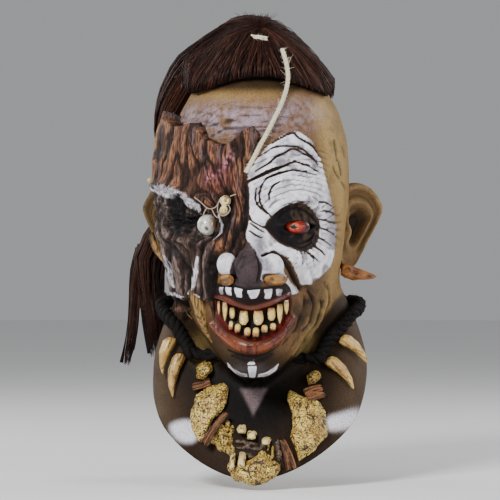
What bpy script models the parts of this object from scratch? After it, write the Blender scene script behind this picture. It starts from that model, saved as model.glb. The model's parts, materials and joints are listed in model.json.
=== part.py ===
"""A pull-over latex voodoo mask: bark over one eye, bared teeth, a crest of hair and a bone necklace.

Metres, +Z up. The face looks along -Y and +X is to the right as the face is seen.
The origin is the inside of the crown, where the mask bears on the wearer's head.
"""

import math

import bmesh
import bpy
import numpy as np
from mathutils import Matrix, Vector
from mathutils.bvhtree import BVHTree

# Head and bib
HEAD_HEIGHT = 0.297
HEAD_WIDTH = 0.166
HEAD_LENGTH = 0.232
BIB_DROP = 0.088
BIB_WIDTH = 0.200
BIB_LENGTH = 0.200
LATEX_WALL = 0.0025
SEAT_GAP = 0.0004

# Bark
BARK_THICKNESS = 0.0055
BARK_EDGE_THICKNESS = 0.0165

# Ears
EAR_HEIGHT = 0.082
EAR_WIDTH = 0.046
EAR_THICKNESS = 0.010
EAR_FLARE = math.radians(38)

# Eyes, teeth and bones in the face
RED_EYE_WIDTH = 0.026
RED_EYE_HEIGHT = 0.016
RED_EYE_BULGE = 0.0055
EYEBALL_DIAMETER = 0.0188
MOUTH_WIDTH = 0.0675
SMILE_RISE = 0.021
UPPER_TOOTH_LENGTH = 0.0184
LOWER_TOOTH_LENGTH = 0.0086
TOOTH_THICKNESS = 0.0050
NOSE_BONE_LENGTH = 0.020
NOSE_BONE_HEIGHT = 0.011
NOSE_BONE_THICKNESS = 0.0075
EAR_BONE_LENGTH = 0.033
EAR_BONE_DIAMETER = 0.0135
BROW_BEAD_DIAMETER = 0.0105
TEMPLE_BEAD_DIAMETER = 0.0052

# Hair
CREST_HEIGHT = 0.033
TAIL_DIAMETER = 0.027
TIE_DIAMETER = 0.0030
TWINE_DIAMETER = 0.0042

# Necklace
ROPE_DIAMETER = 0.0125
TUSK_LENGTH = 0.0400
TUSK_DIAMETER = 0.0125
KNUCKLE_WIDTH = 0.0158
KNUCKLE_HEIGHT = 0.0180
KNUCKLE_THICKNESS = 0.0120
LEFT_BONE_WIDTH = 0.0347
LEFT_BONE_HEIGHT = 0.0530
RIGHT_BONE_WIDTH = 0.0374
RIGHT_BONE_HEIGHT = 0.0640
BONE_THICKNESS = 0.0095
JAW_WIDTH = 0.0466
JAW_HEIGHT = 0.0290
JAW_THICKNESS = 0.0120
JAW_TOOTH_WIDTH = 0.0088
JAW_TOOTH_HEIGHT = 0.0150
JAW_TOOTH_THICKNESS = 0.0100
WRAP_LENGTH = 0.0366
WRAP_WIDTH = 0.0100
WRAP_THICKNESS = 0.0030
FINE_BACK_FROM = 0.0125

# Half outlines of the mask at each level, from the crown down to the chin.
# Columns: front down, side down, back down, half width, front, back, pinch of the jaw, steps to the next row.
# Depths are shares of HEAD_HEIGHT, half widths of HEAD_WIDTH / 2, front and back of HEAD_LENGTH / 2.
HEAD_SECTIONS = (
    (0.013, 0.013, 0.013, 0.31, 0.29, 0.38, 0.00, 1),
    (0.047, 0.047, 0.043, 0.55, 0.53, 0.64, 0.00, 1),
    (0.100, 0.100, 0.093, 0.735, 0.74, 0.83, 0.00, 1),
    (0.167, 0.167, 0.160, 0.88, 0.87, 0.915, 0.00, 1),
    (0.250, 0.253, 0.247, 0.976, 0.95, 0.983, 0.00, 1),
    (0.347, 0.353, 0.347, 1.00, 0.983, 1.017, 0.00, 2),
    (0.450, 0.453, 0.447, 0.988, 0.974, 1.017, 0.00, 3),
    (0.550, 0.540, 0.533, 0.952, 0.974, 0.983, 0.00, 3),
    (0.650, 0.613, 0.607, 0.922, 0.990, 0.922, 0.08, 3),
    (0.750, 0.653, 0.660, 0.904, 1.009, 0.862, 0.18, 3),
    (0.840, 0.683, 0.700, 0.898, 1.017, 0.828, 0.26, 2),
    (0.920, 0.707, 0.730, 0.910, 0.983, 0.802, 0.35, 2),
    (0.973, 0.723, 0.750, 0.928, 0.905, 0.784, 0.43, 1),
    (1.000, 0.737, 0.763, 0.952, 0.770, 0.776, 0.46, 1),
    (0.993, 0.750, 0.777, 0.976, 0.586, 0.767, 0.34, 1),
    (0.987, 0.770, 0.797, 1.012, 0.483, 0.759, 0.20, 1),
)
# Below the chin the depths start at these shares of HEAD_HEIGHT and add shares of BIB_DROP.
BIB_START = (1.000, 0.770, 0.797)
BIB_SECTIONS = (
    (0.063, 0.110, 0.115, 0.885, 0.58, 0.88, 0.00, 1),
    (0.210, 0.250, 0.260, 0.930, 0.66, 0.91, 0.00, 1),
    (0.420, 0.390, 0.450, 0.970, 0.78, 0.95, 0.00, 1),
    (0.630, 0.505, 0.660, 0.995, 0.88, 0.98, 0.00, 1),
    (0.840, 0.590, 0.830, 1.000, 0.95, 1.00, 0.00, 1),
    (1.000, 0.640, 0.980, 0.995, 0.99, 1.01, 0.00, 0),
)
CROWN_BACK = 0.07
# How the rows rise from the front to the sides: an exponent for the head, and one at the bib's rim
RING_ROUNDNESS = 1.35
RIM_ROUNDNESS = 0.62
COLUMNS = 40
FACE_COLUMN_SHARE = 0.58

# Swells and hollows of the face. Columns: name, across, down, spread across, spread down, push, curl.
# Across is a share of HEAD_WIDTH / 2 and down of HEAD_HEIGHT, push is a share of HEAD_LENGTH
# and curl is how far the ends rise at one half width to the side.
FEATURES = (
    ("brow_right", 0.53, 0.428, 0.265, 0.030, 0.030, 0.0),
    ("brow_left", -0.56, 0.424, 0.265, 0.030, 0.022, 0.0),
    ("brow_middle", -0.01, 0.436, 0.170, 0.034, 0.017, 0.0),
    ("socket_right", 0.475, 0.531, 0.185, 0.036, -0.047, 0.0),
    ("socket_left", -0.545, 0.513, 0.170, 0.038, -0.069, 0.0),
    ("nose_bridge", 0.024, 0.575, 0.125, 0.058, 0.054, 0.0),
    ("nose_tip", 0.020, 0.668, 0.170, 0.040, 0.108, 0.0),
    ("nose_wing_right", 0.250, 0.650, 0.110, 0.030, 0.062, 0.0),
    ("nose_wing_left", -0.215, 0.650, 0.110, 0.030, 0.058, 0.0),
    ("cheek_right", 0.760, 0.615, 0.190, 0.047, 0.022, 0.0),
    ("cheek_left", -0.840, 0.615, 0.190, 0.047, 0.018, 0.0),
    ("smile_right", 0.590, 0.645, 0.165, 0.038, 0.026, 0.0),
    ("smile_fold_right", 0.480, 0.705, 0.095, 0.047, -0.022, 0.0),
    ("muzzle", 0.017, 0.815, 0.360, 0.088, 0.040, 0.0),
    ("mouth", 0.017, 0.805, 0.320, 0.040, -0.072, 0.14),
    ("lip_upper", 0.017, 0.729, 0.320, 0.020, 0.022, -0.05),
    ("lip_lower", 0.017, 0.892, 0.300, 0.018, 0.028, 0.55),
    ("chin", 0.017, 0.960, 0.205, 0.040, 0.034, 0.0),
)

# Bark outline and its eye opening, seen from the front: shares of the half width and the height
BARK_OUTLINE = (
    (-1.40, 0.245), (-1.075, 0.252), (-0.965, 0.232), (-0.870, 0.207), (-0.780, 0.231), (-0.612, 0.210),
    (-0.565, 0.233), (-0.515, 0.261), (-0.330, 0.285), (-0.202, 0.258), (-0.020, 0.228), (0.099, 0.252),
    (0.035, 0.306), (-0.100, 0.396), (-0.117, 0.526), (-0.202, 0.613), (-0.322, 0.580), (-0.470, 0.622),
    (-0.483, 0.655), (-0.407, 0.706), (-0.407, 0.751), (-0.429, 0.817), (-0.440, 0.880), (-0.500, 0.868),
    (-0.569, 0.835), (-0.640, 0.800), (-0.700, 0.765), (-0.817, 0.739), (-0.960, 0.724), (-1.40, 0.700),
)
BARK_EYE_OUTLINE = (
    (-0.948, 0.394), (-0.808, 0.415), (-0.658, 0.445), (-0.518, 0.469), (-0.336, 0.487), (-0.304, 0.517),
    (-0.325, 0.550), (-0.411, 0.565), (-0.712, 0.559), (-0.948, 0.529), (-0.970, 0.466),
)
BARK_BACK = -0.10
BARK_ROWS_FROM = 0.15
BARK_ROWS_TO = 0.93

# Places of the pieces in the face: across as a share of HEAD_WIDTH / 2, down as a share of HEAD_HEIGHT
RED_EYE_PLACE = (0.475, 0.531)
EYEBALL_PLACE = (-0.484, 0.525)
BROW_BEAD_PLACE = (-0.289, 0.467)
TEMPLE_BEAD_DOWN = 0.385
NOSE_BONE_ACROSS = 0.265
NOSE_BONE_DOWN = 0.690
LEFT_NOSE_BONE_SHARE = 0.76
EAR_BONE_DOWN = 0.661
EAR_BONE_BEHIND = 0.020
EAR_BONE_DROOP = math.radians(12)

# Ear outline in its own plane: shares of EAR_WIDTH out from the head and of EAR_HEIGHT about its middle
EAR_OUTLINE = (
    (-0.10, 0.30), (0.08, 0.46), (0.38, 0.50), (0.70, 0.45), (0.92, 0.32), (1.00, 0.22), (0.90, 0.08),
    (0.72, -0.08), (0.55, -0.22), (0.40, -0.36),
    (0.22, -0.48), (0.02, -0.50), (-0.12, -0.34), (-0.16, 0.00),
)
EAR_MIDDLE = (0.38, 0.02)
EAR_DOWN = 0.527
EAR_BEHIND = 0.045
EAR_ROOT = 0.92
EAR_FRONT_RINGS = ((0.90, 0.30), (0.76, -0.02), (0.58, 0.16), (0.34, -0.52))
EAR_BACK_RINGS = ((0.82, -0.62), (0.42, -1.15))

# Teeth: place and width as shares of MOUTH_WIDTH, length and drop past the bite line as shares of a length
UPPER_TEETH = (
    (-0.465, 0.046, 0.70, 0.47, "fang"),
    (-0.378, 0.078, 1.00, 0.47, "fang"),
    (-0.279, 0.078, 0.56, 0.01, "worn"),
    (-0.123, 0.124, 0.71, 0.03, "worn"),
    (0.070, 0.138, 0.73, -0.02, "worn"),
    (0.240, 0.105, 0.66, 0.02, "worn"),
    (0.347, 0.078, 1.00, 0.47, "fang"),
    (0.430, 0.065, 0.75, 0.32, "fang"),
)
LOWER_TEETH = (
    (-0.292, 0.064, 0.95, 0.26, "worn"),
    (-0.200, 0.086, 0.92, 0.12, "worn"),
    (-0.068, 0.092, 0.93, 0.13, "worn"),
    (0.043, 0.092, 1.00, 0.11, "worn"),
    (0.154, 0.086, 0.83, 0.06, "worn"),
    (0.262, 0.080, 0.76, 0.32, "worn"),
)
BITE_ACROSS = 0.017
BITE_DOWN = 0.829
TOOTH_OUTLINES = {
    "fang": ((-0.42, 0.00), (-0.50, -0.30), (-0.34, -0.70), (0.00, -1.00), (0.34, -0.70), (0.50, -0.30),
             (0.42, 0.00)),
    "worn": ((-0.40, 0.00), (-0.50, -0.45), (-0.42, -0.86), (-0.12, -1.00), (0.26, -0.96), (0.48, -0.72),
             (0.46, -0.30), (0.38, 0.00)),
}

# Crest of hair, from side to side: place across as a share of the half width, front and back edges
# as shares of HEAD_LENGTH / 2, height above the scalp as a share of CREST_HEIGHT
CREST_STATIONS = (
    (-0.77, -0.22, 0.34, 0.80),
    (-0.66, -0.50, 0.58, 0.90),
    (-0.52, -0.62, 0.68, 0.86),
    (-0.40, -0.68, 0.72, 0.90),
    (-0.26, -0.72, 0.75, 1.00),
    (-0.10, -0.74, 0.77, 1.02),
    (0.06, -0.74, 0.77, 0.97),
    (0.20, -0.71, 0.74, 0.84),
    (0.34, -0.68, 0.70, 0.66),
    (0.50, -0.60, 0.60, 0.46),
    (0.66, -0.48, 0.50, 0.42),
    (0.78, -0.30, 0.32, 0.40),
)
CREST_SPAN_POINTS = 8
CREST_EDGE = 0.25

# Locks of the tail, top to bottom: shares of the half width, of HEAD_LENGTH / 2 and of the height,
# then thickness as a share of TAIL_DIAMETER
TAIL_LOCKS = (
    ((-0.86, 0.03, 0.052, 0.74), (-0.94, 0.05, 0.095, 0.86),
     (-1.03, 0.10, 0.155, 0.78), (-1.085, 0.22, 0.240, 0.74),
     (-1.05, 0.42, 0.345, 0.74), (-1.07, 0.53, 0.480, 0.86),
     (-1.31, 0.535, 0.615, 1.07), (-1.30, 0.52, 0.722, 0.85),
     (-1.28, 0.49, 0.833, 0.70), (-1.25, 0.47, 0.945, 0.42)),
    ((-1.37, 0.545, 0.588, 0.60), (-1.455, 0.535, 0.665, 0.52),
     (-1.49, 0.52, 0.766, 0.37), (-1.52, 0.50, 0.877, 0.30),
     (-1.58, 0.48, 0.971, 0.18)),
)
LOCK_SIDES = 8

# Place of the tie on the front of the crest: shares of the half width and the height
TIE_PLACES = ((-0.05, -0.046), (0.03, -0.050), (0.14, -0.044))

# Route of the twine, in metres, from the top of the crest over the forehead to the bark
TWINE_ROUTE = (
    (0.0246, -0.0690, 0.0060), (0.0285, -0.0745, -0.0060),
    (0.0308, -0.0822, -0.0190), (0.0298, -0.0842, -0.0290),
    (0.0282, -0.0885, -0.0365), (0.0246, -0.0988, -0.0478),
    (0.0210, -0.1038, -0.0560), (0.0174, -0.1080, -0.0639),
    (0.0130, -0.1121, -0.0730), (0.0084, -0.1165, -0.0818),
    (0.0040, -0.1212, -0.0910), (-0.0005, -0.1220, -0.0997),
    (-0.0045, -0.1223, -0.1070),
)

# Route of the rope round the neck: degrees from straight ahead and depth as a share of the height
ROPE_ROUTE = (
    (40, 0.985), (44, 0.957), (57, 0.889), (69, 0.836),
    (80, 0.796), (92, 0.772), (115, 0.765), (140, 0.778),
    (165, 0.790), (180, 0.793),
)
ROPE_SETTLING = 3

# Tusks on the rope: start as shares of the bib's half width and of the height, lean outward in degrees,
# length as a share of TUSK_LENGTH
TUSKS = (
    (-0.775, 0.850, -11.5, 0.86),
    (-0.700, 0.925, -8.0, 1.00),
    (0.745, 0.862, 43.8, 0.84),
    (0.650, 0.935, 39.8, 0.92),
)
TUSK_RINGS = ((0.00, 0.84), (0.10, 1.00), (0.40, 0.86), (0.72, 0.52), (0.92, 0.22))
TUSK_CURL = 0.10

# Outlines of the flat bones and lashings: shares of the piece's own width and height
LEFT_BONE_OUTLINE = (
    (-0.38, 0.28), (-0.49, 0.01), (-0.50, -0.25),
    (-0.41, -0.36), (-0.23, -0.50), (-0.07, -0.50), (0.14, -0.13),
    (0.34, -0.01), (0.47, 0.18), (0.50, 0.38), (0.37, 0.50), (0.00, 0.44),
)
RIGHT_BONE_OUTLINE = (
    (-0.43, 0.50), (-0.07, 0.39), (0.34, 0.32), (0.44, 0.18), (0.50, 0.01), (0.49, -0.16), (0.22, -0.36),
    (-0.02, -0.44), (-0.16, -0.50), (-0.21, -0.36),
    (-0.38, -0.16), (-0.32, -0.02), (-0.33, 0.16), (-0.50, 0.35),
)
KNUCKLE_OUTLINE = (
    (-0.50, 0.10), (-0.30, 0.30), (0.06, 0.50), (0.34, 0.40), (0.50, 0.04), (0.38, -0.12), (0.00, -0.46),
    (-0.40, -0.50),
)
JAW_OUTLINE = (
    (-0.50, 0.05), (-0.44, -0.22), (-0.20, -0.44),
    (0.00, -0.50), (0.20, -0.42), (0.46, -0.16), (0.50, 0.18),
    (0.36, 0.10), (0.24, 0.46), (0.08, 0.50), (-0.08, 0.32), (-0.30, 0.18),
)
PEG_OUTLINE = (
    (-0.36, 0.50), (-0.50, 0.12), (-0.40, -0.40), (0.00, -0.50), (0.42, -0.38), (0.50, 0.16), (0.34, 0.50),
)
STUB_OUTLINE = (
    (-0.50, 0.50), (-0.42, 0.05), (-0.20, -0.42), (0.20, -0.50), (0.50, -0.20), (0.40, 0.10), (-0.05, 0.20),
)
STRAP_OUTLINE = (
    (-0.50, 0.36), (-0.50, -0.40), (-0.22, -0.50), (0.10, -0.42), (0.46, -0.50), (0.50, 0.38), (0.20, 0.50),
    (-0.18, 0.42),
)

# Chest pieces, in the order they are laid: middle as shares of the bib's half width and of BIB_DROP
# below the chin, width and height as shares of a named size, turn in degrees, what they lie on
SIZES = {
    "knuckle": (KNUCKLE_WIDTH, KNUCKLE_HEIGHT, KNUCKLE_THICKNESS, KNUCKLE_OUTLINE),
    "left_bone": (LEFT_BONE_WIDTH, LEFT_BONE_HEIGHT, BONE_THICKNESS, LEFT_BONE_OUTLINE),
    "right_bone": (RIGHT_BONE_WIDTH, RIGHT_BONE_HEIGHT, BONE_THICKNESS, RIGHT_BONE_OUTLINE),
    "jaw": (JAW_WIDTH, JAW_HEIGHT, JAW_THICKNESS, JAW_OUTLINE),
    "stub": (JAW_TOOTH_WIDTH, JAW_TOOTH_HEIGHT, JAW_TOOTH_THICKNESS, STUB_OUTLINE),
    "peg": (JAW_TOOTH_WIDTH, JAW_TOOTH_HEIGHT, JAW_TOOTH_THICKNESS, PEG_OUTLINE),
    "wrap": (WRAP_LENGTH, WRAP_WIDTH, WRAP_THICKNESS, STRAP_OUTLINE),
}
CHEST_PIECES = (
    ("left_knuckle", "knuckle", -0.473, -0.104, 1.00, 1.00, 0, ()),
    ("right_knuckle", "knuckle", 0.530, -0.032, 0.85, 0.76, 0, ()),
    ("left_bone", "left_bone", -0.415, 0.310, 1.00, 1.00, 0, ("left_knuckle",)),
    ("right_bone", "right_bone", 0.468, 0.447, 1.00, 1.00, 0, ("right_knuckle",)),
    ("jaw_bone", "jaw", 0.021, 0.885, 1.00, 1.00, 0, ()),
    ("jaw_stub", "stub", -0.262, 0.560, 1.42, 1.33, 0, ()),
    ("jaw_tooth_1", "peg", -0.108, 0.487, 0.91, 0.53, 0, ()),
    ("jaw_tooth_2", "peg", -0.016, 0.545, 1.00, 0.53, 0, ()),
    ("jaw_tooth_3", "peg", 0.112, 0.605, 0.89, 0.41, 0, ()),
    ("jaw_tooth_4", "peg", -0.095, 0.785, 0.80, 0.87, 0, ("jaw_bone",)),
    ("jaw_tooth_5", "peg", -0.180, 0.800, 0.61, 1.00, 0, ("jaw_bone",)),
    ("leather_wrap_1", "wrap", -0.489, 0.044, 0.52, 0.65, 18, ("left_knuckle", "left_bone")),
    ("leather_wrap_2", "wrap", -0.345, 0.480, 1.00, 0.72, 54, ("left_bone", "jaw_stub")),
    ("leather_wrap_3", "wrap", 0.300, 0.745, 0.82, 0.95, -72, ("right_bone", "jaw_bone")),
    ("leather_wrap_4", "wrap", 0.534, 0.126, 0.44, 1.00, -8, ("right_knuckle", "right_bone")),
)

# Colours in linear light, then roughness
FINISHES = {
    "latex": ((0.20, 0.13, 0.075), 0.55),
    "bark": ((0.13, 0.055, 0.030), 0.70),
    "hair": ((0.020, 0.009, 0.007), 0.60),
    "bone": ((0.42, 0.28, 0.11), 0.50),
    "tooth": ((0.55, 0.42, 0.20), 0.30),
    "red_eye": ((0.45, 0.05, 0.02), 0.10),
    "white_eye": ((0.55, 0.56, 0.52), 0.15),
    "rope": ((0.030, 0.020, 0.014), 0.80),
    "jute": ((0.60, 0.52, 0.36), 0.85),
    "leather": ((0.14, 0.05, 0.025), 0.60),
}


def clear_scene():
    for item in list(bpy.data.objects):
        bpy.data.objects.remove(item, do_unlink=True)


def finish_material(name):
    colour, roughness = FINISHES[name]
    material = bpy.data.materials.get(name) or bpy.data.materials.new(name)
    material.use_nodes = True
    shader = material.node_tree.nodes["Principled BSDF"]
    shader.inputs["Base Color"].default_value = (*colour, 1.0)
    shader.inputs["Roughness"].default_value = roughness
    material.diffuse_color = (*colour, 1.0)
    return material


def object_from_bmesh(name, bm, finish):
    bmesh.ops.recalc_face_normals(bm, faces=bm.faces)
    mesh = bpy.data.meshes.new(name)
    bm.to_mesh(mesh)
    bm.free()
    mesh.shade_smooth()
    mesh.set_sharp_from_angle(angle=math.radians(50))
    item = bpy.data.objects.new(name, mesh)
    item.data.materials.append(finish_material(finish))
    bpy.context.collection.objects.link(item)
    return item


def tube_bmesh(rings, start=None, end=None):
    """Close a run of equal rings; each end is one point, or a flat face where it is None."""
    bm = bmesh.new()
    loops = [[bm.verts.new(point) for point in ring] for ring in rings]
    count = len(loops[0])
    for lower, upper in zip(loops, loops[1:]):
        for i in range(count):
            j = (i + 1) % count
            bm.faces.new((lower[i], lower[j], upper[j]))
            bm.faces.new((lower[i], upper[j], upper[i]))
    for loop, tip in ((loops[0], start), (loops[-1], end)):
        if tip is None:
            bm.faces.new(loop)
            continue
        centre = bm.verts.new(tip)
        for i in range(count):
            bm.faces.new((loop[i], loop[(i + 1) % count], centre))
    return bm


def height_at(down):
    """World Z of a depth given as a share of the head's height."""
    return LATEX_WALL - down * HEAD_HEIGHT


def smooth_rows(rows, steps):
    """Fill in between the rows of a table along a smooth curve through all of them."""
    padded = np.vstack([2 * rows[0] - rows[1], rows, 2 * rows[-1] - rows[-2]])
    filled = []
    for index, count in enumerate(steps):
        before, first, second, after = padded[index:index + 4]
        for step in range(count):
            t = step / count
            square = (2 * before - 5 * first + 4 * second - after) * t ** 2
            cube = (3 * first - before - 3 * second + after) * t ** 3
            filled.append(0.5 * (2 * first + (second - before) * t + square + cube))
    filled.append(rows[-1])
    return np.array(filled)


def skin_sections():
    """Sections in metres, crown to rim, with the in-between rows filled in."""
    head = np.array(HEAD_SECTIONS)
    bib = np.array(BIB_SECTIONS)
    steps = [int(count) for count in np.concatenate([head[:, 7], bib[:-1, 7]])]
    head_scale = [HEAD_HEIGHT] * 3 + [HEAD_WIDTH / 2, HEAD_LENGTH / 2, HEAD_LENGTH / 2, 1]
    bib_scale = [BIB_DROP] * 3 + [BIB_WIDTH / 2, BIB_LENGTH / 2, BIB_LENGTH / 2, 1]
    bib_rows = bib[:, :7] * bib_scale
    bib_rows[:, :3] += np.array(BIB_START) * HEAD_HEIGHT
    return smooth_rows(np.vstack([head[:, :7] * head_scale, bib_rows]), steps)


def feature_push(x, z):
    """How far the face stands forward of the plain sections at one place seen from the front."""
    across = x / (HEAD_WIDTH / 2)
    down = (LATEX_WALL - z) / HEAD_HEIGHT
    push = np.zeros_like(x)
    for _, middle, depth, wide, tall, amount, curl in FEATURES:
        level = depth - curl * (across - middle) ** 2
        spread = ((across - middle) / wide) ** 2 + ((down - level) / tall) ** 2
        push += amount * HEAD_LENGTH * np.exp(-spread)
    return push


def skin_rings():
    """Outer skin as an array of rings, each a run of points round the head."""
    spread = np.linspace(-1, 1, COLUMNS + 1)[:-1]
    turn = math.pi * (FACE_COLUMN_SHARE * spread + (1 - FACE_COLUMN_SHARE) * spread ** 3)
    ahead = np.maximum(np.cos(turn), 0)
    behind = np.maximum(-np.cos(turn), 0)
    rings = []
    for front_down, side_down, back_down, half_width, front, back, pinch in skin_sections():
        x = half_width * np.sin(turn) * (1 - pinch * ahead)
        y = back * behind - front * ahead
        on_bib = min(max((front_down - HEAD_HEIGHT) / BIB_DROP, 0), 1)
        roundness = RING_ROUNDNESS + (RIM_ROUNDNESS - RING_ROUNDNESS) * on_bib
        depth = side_down + (front_down - side_down) * ahead ** roundness
        depth += (back_down - side_down) * behind ** RING_ROUNDNESS
        z = LATEX_WALL - depth
        facing = np.clip(ahead / 0.35, 0, 1)
        y -= feature_push(x, z) * facing ** 2 * (3 - 2 * facing)
        rings.append(np.stack([x, y, z], axis=1))
    return np.array(rings)


def ring_normals(rings):
    """Outward unit normals of the skin's points."""
    along = np.gradient(rings, axis=0)
    around = (np.roll(rings, -1, axis=1) - np.roll(rings, 1, axis=1)) / 2
    normals = np.cross(along, around)
    normals /= np.linalg.norm(normals, axis=2, keepdims=True)
    outward = rings - rings.mean(axis=1, keepdims=True)
    flip = np.sign(np.median((normals * outward).sum(axis=2)))
    return normals * flip


def crown_point(shift):
    return (0.0, CROWN_BACK * HEAD_LENGTH / 2, LATEX_WALL - shift)


def temporary_object(bm):
    bmesh.ops.recalc_face_normals(bm, faces=bm.faces)
    mesh = bpy.data.meshes.new("cutter")
    bm.to_mesh(mesh)
    bm.free()
    item = bpy.data.objects.new("cutter", mesh)
    bpy.context.collection.objects.link(item)
    return item


def apply_boolean(item, tools, operation):
    """Join, cut or intersect an object with each tool in turn and keep the result in its mesh."""
    for tool in tools:
        modifier = item.modifiers.new(operation.lower(), "BOOLEAN")
        modifier.operation = operation
        modifier.solver = "EXACT"
        modifier.object = tool
        evaluated = item.evaluated_get(bpy.context.evaluated_depsgraph_get())
        mesh = bpy.data.meshes.new_from_object(evaluated)
        item.modifiers.clear()
        item.data = mesh
        bpy.data.objects.remove(tool, do_unlink=True)


def ear_bmesh(side):
    """One ear: an outline with a rolled rim and a deep cup, cut from one closed form."""
    out = Vector((side * math.cos(EAR_FLARE), math.sin(EAR_FLARE), 0))
    face = Vector((side * math.sin(EAR_FLARE), -math.cos(EAR_FLARE), 0))
    root = Vector((side * EAR_ROOT * HEAD_WIDTH / 2, EAR_BEHIND * HEAD_LENGTH, height_at(EAR_DOWN)))

    def ring(share, lift):
        points = []
        for wide, tall in EAR_OUTLINE:
            wide = EAR_MIDDLE[0] + (wide - EAR_MIDDLE[0]) * share
            tall = EAR_MIDDLE[1] + (tall - EAR_MIDDLE[1]) * share
            place = root + out * wide * EAR_WIDTH + face * lift * EAR_THICKNESS
            points.append(place + Vector((0, 0, tall * EAR_HEIGHT)))
        return points

    rings = [ring(share, lift) for share, lift in reversed(EAR_BACK_RINGS)]
    rings.append(ring(1.0, -0.15))
    rings += [ring(share, lift) for share, lift in EAR_FRONT_RINGS]
    return tube_bmesh(rings, ring(0.0, -1.30)[0], ring(0.0, -0.72)[0])


def ear_root_bmesh(side):
    """The swell behind the ear that joins its cup to the head."""
    bm = bmesh.new()
    bmesh.ops.create_icosphere(bm, subdivisions=1, radius=1.0)
    size = Matrix.Diagonal((EAR_WIDTH * 0.34, EAR_WIDTH * 0.34, EAR_HEIGHT * 0.33, 1))
    place = Vector((side * EAR_ROOT * HEAD_WIDTH / 2, EAR_BEHIND * HEAD_LENGTH + EAR_WIDTH * 0.36,
                    height_at(EAR_DOWN)))
    bm.transform(Matrix.Translation(place) @ size)
    return bm


def build_latex(rings, normals):
    """The hollow mask: outer form and ears, less the same form one wall further in."""
    outer = tube_bmesh(rings, crown_point(0), rings[-1].mean(axis=0))
    mask = object_from_bmesh("latex_mask", outer, "latex")
    ears = []
    for side in (-1, 1):
        ears += [temporary_object(ear_root_bmesh(side)), temporary_object(ear_bmesh(side))]
    apply_boolean(mask, ears, "UNION")
    inner = rings - normals * LATEX_WALL
    below = inner[-1] + np.array([0, 0, -0.03])
    cavity = tube_bmesh(np.vstack([inner, below[None]]), crown_point(LATEX_WALL), below.mean(axis=0))
    apply_boolean(mask, [temporary_object(cavity)], "DIFFERENCE")
    return mask


def prism_bmesh(outline, near, far):
    """A straight cut through the face, from near to far along Y."""
    points = [(across * HEAD_WIDTH / 2, height_at(down)) for across, down in outline]
    return tube_bmesh([[(x, near, z) for x, z in points], [(x, far, z) for x, z in points]])


def build_bark(rings, normals):
    """Bark: a layer over the skin, cut to its jagged outline, with the eye opened."""
    across = rings[:, :, 0] / (HEAD_WIDTH / 2)
    down = (LATEX_WALL - rings[:, :, 2]) / HEAD_HEIGHT
    middle = COLUMNS // 2
    columns = [i for i in range(COLUMNS) if -1.2 < across[10, i] < 0.30 and i <= middle + 6]
    columns = [i for i in columns if rings[10, i, 1] < HEAD_LENGTH * 0.12]
    rows = [i for i in range(len(rings)) if BARK_ROWS_FROM < down[i, middle] < BARK_ROWS_TO]
    rows = [i for i in rows if i < int(np.argmax(down[:, middle] > BARK_ROWS_TO))]
    patch = rings[np.ix_(rows, columns)]
    patch_normals = normals[np.ix_(rows, columns)]
    toward_edge = np.clip((-across[np.ix_(rows, columns)] - 0.45) / 0.5, 0, 1)
    thickness = BARK_THICKNESS + (BARK_EDGE_THICKNESS - BARK_THICKNESS) * toward_edge
    near_skin = patch + patch_normals * SEAT_GAP
    outside = patch + patch_normals * thickness[:, :, None]
    rings_round = [np.concatenate([near_skin[:, i], outside[::-1, i]]) for i in range(len(columns))]
    bark = object_from_bmesh("bark_plate", tube_bmesh(rings_round), "bark")
    back = BARK_BACK * HEAD_LENGTH
    apply_boolean(bark, [temporary_object(prism_bmesh(BARK_OUTLINE, -HEAD_LENGTH, back))], "INTERSECT")
    apply_boolean(bark, [temporary_object(prism_bmesh(BARK_EYE_OUTLINE, -HEAD_LENGTH, HEAD_LENGTH))],
                  "DIFFERENCE")
    return bark


def tree_of(item):
    bm = bmesh.new()
    bm.from_mesh(item.data)
    bm.transform(item.matrix_world)
    bmesh.ops.triangulate(bm, faces=bm.faces)
    tree = BVHTree.FromBMesh(bm)
    bm.free()
    return tree


def front_of(trees, x, z):
    """Y of the foremost surface at one place seen from the front; past the rim, that of the rim."""
    for lift in np.arange(0, BIB_DROP, 0.001):
        hits = []
        for tree in trees:
            place = tree.ray_cast(Vector((x, -HEAD_LENGTH, z + lift)), Vector((0, 1, 0)))[0]
            if place is not None:
                hits.append(place.y)
        if hits:
            return min(hits)
    raise ValueError("nothing lies behind this place")


def seat_depth(trees, x, z, reach=0.0006):
    """Foremost surface within a small reach of one place."""
    around = ((0, 0), (reach, 0), (-reach, 0), (0, reach), (0, -reach))
    return min(front_of(trees, x + dx, z + dz) for dx, dz in around)


def keeps_gap(bm, trees):
    """Whether a piece crosses nothing and keeps the seat gap to all that it lies on."""
    own = BVHTree.FromBMesh(bm)
    if any(own.overlap(tree) for tree in trees):
        return False
    places = [vert.co for vert in bm.verts] + [face.calc_center_median() for face in bm.faces]
    places += [(edge.verts[0].co + edge.verts[1].co) / 2 for edge in bm.edges]
    nearest = min(tree.find_nearest(place)[3] for tree in trees for place in places)
    return nearest >= SEAT_GAP * 0.9


def move_clear(bm, trees, direction, step=0.00025):
    """Slide a piece along a direction until it keeps the seat gap."""
    direction = Vector(direction).normalized()
    while not keeps_gap(bm, trees):
        bmesh.ops.translate(bm, verts=bm.verts, vec=direction * step)


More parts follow.
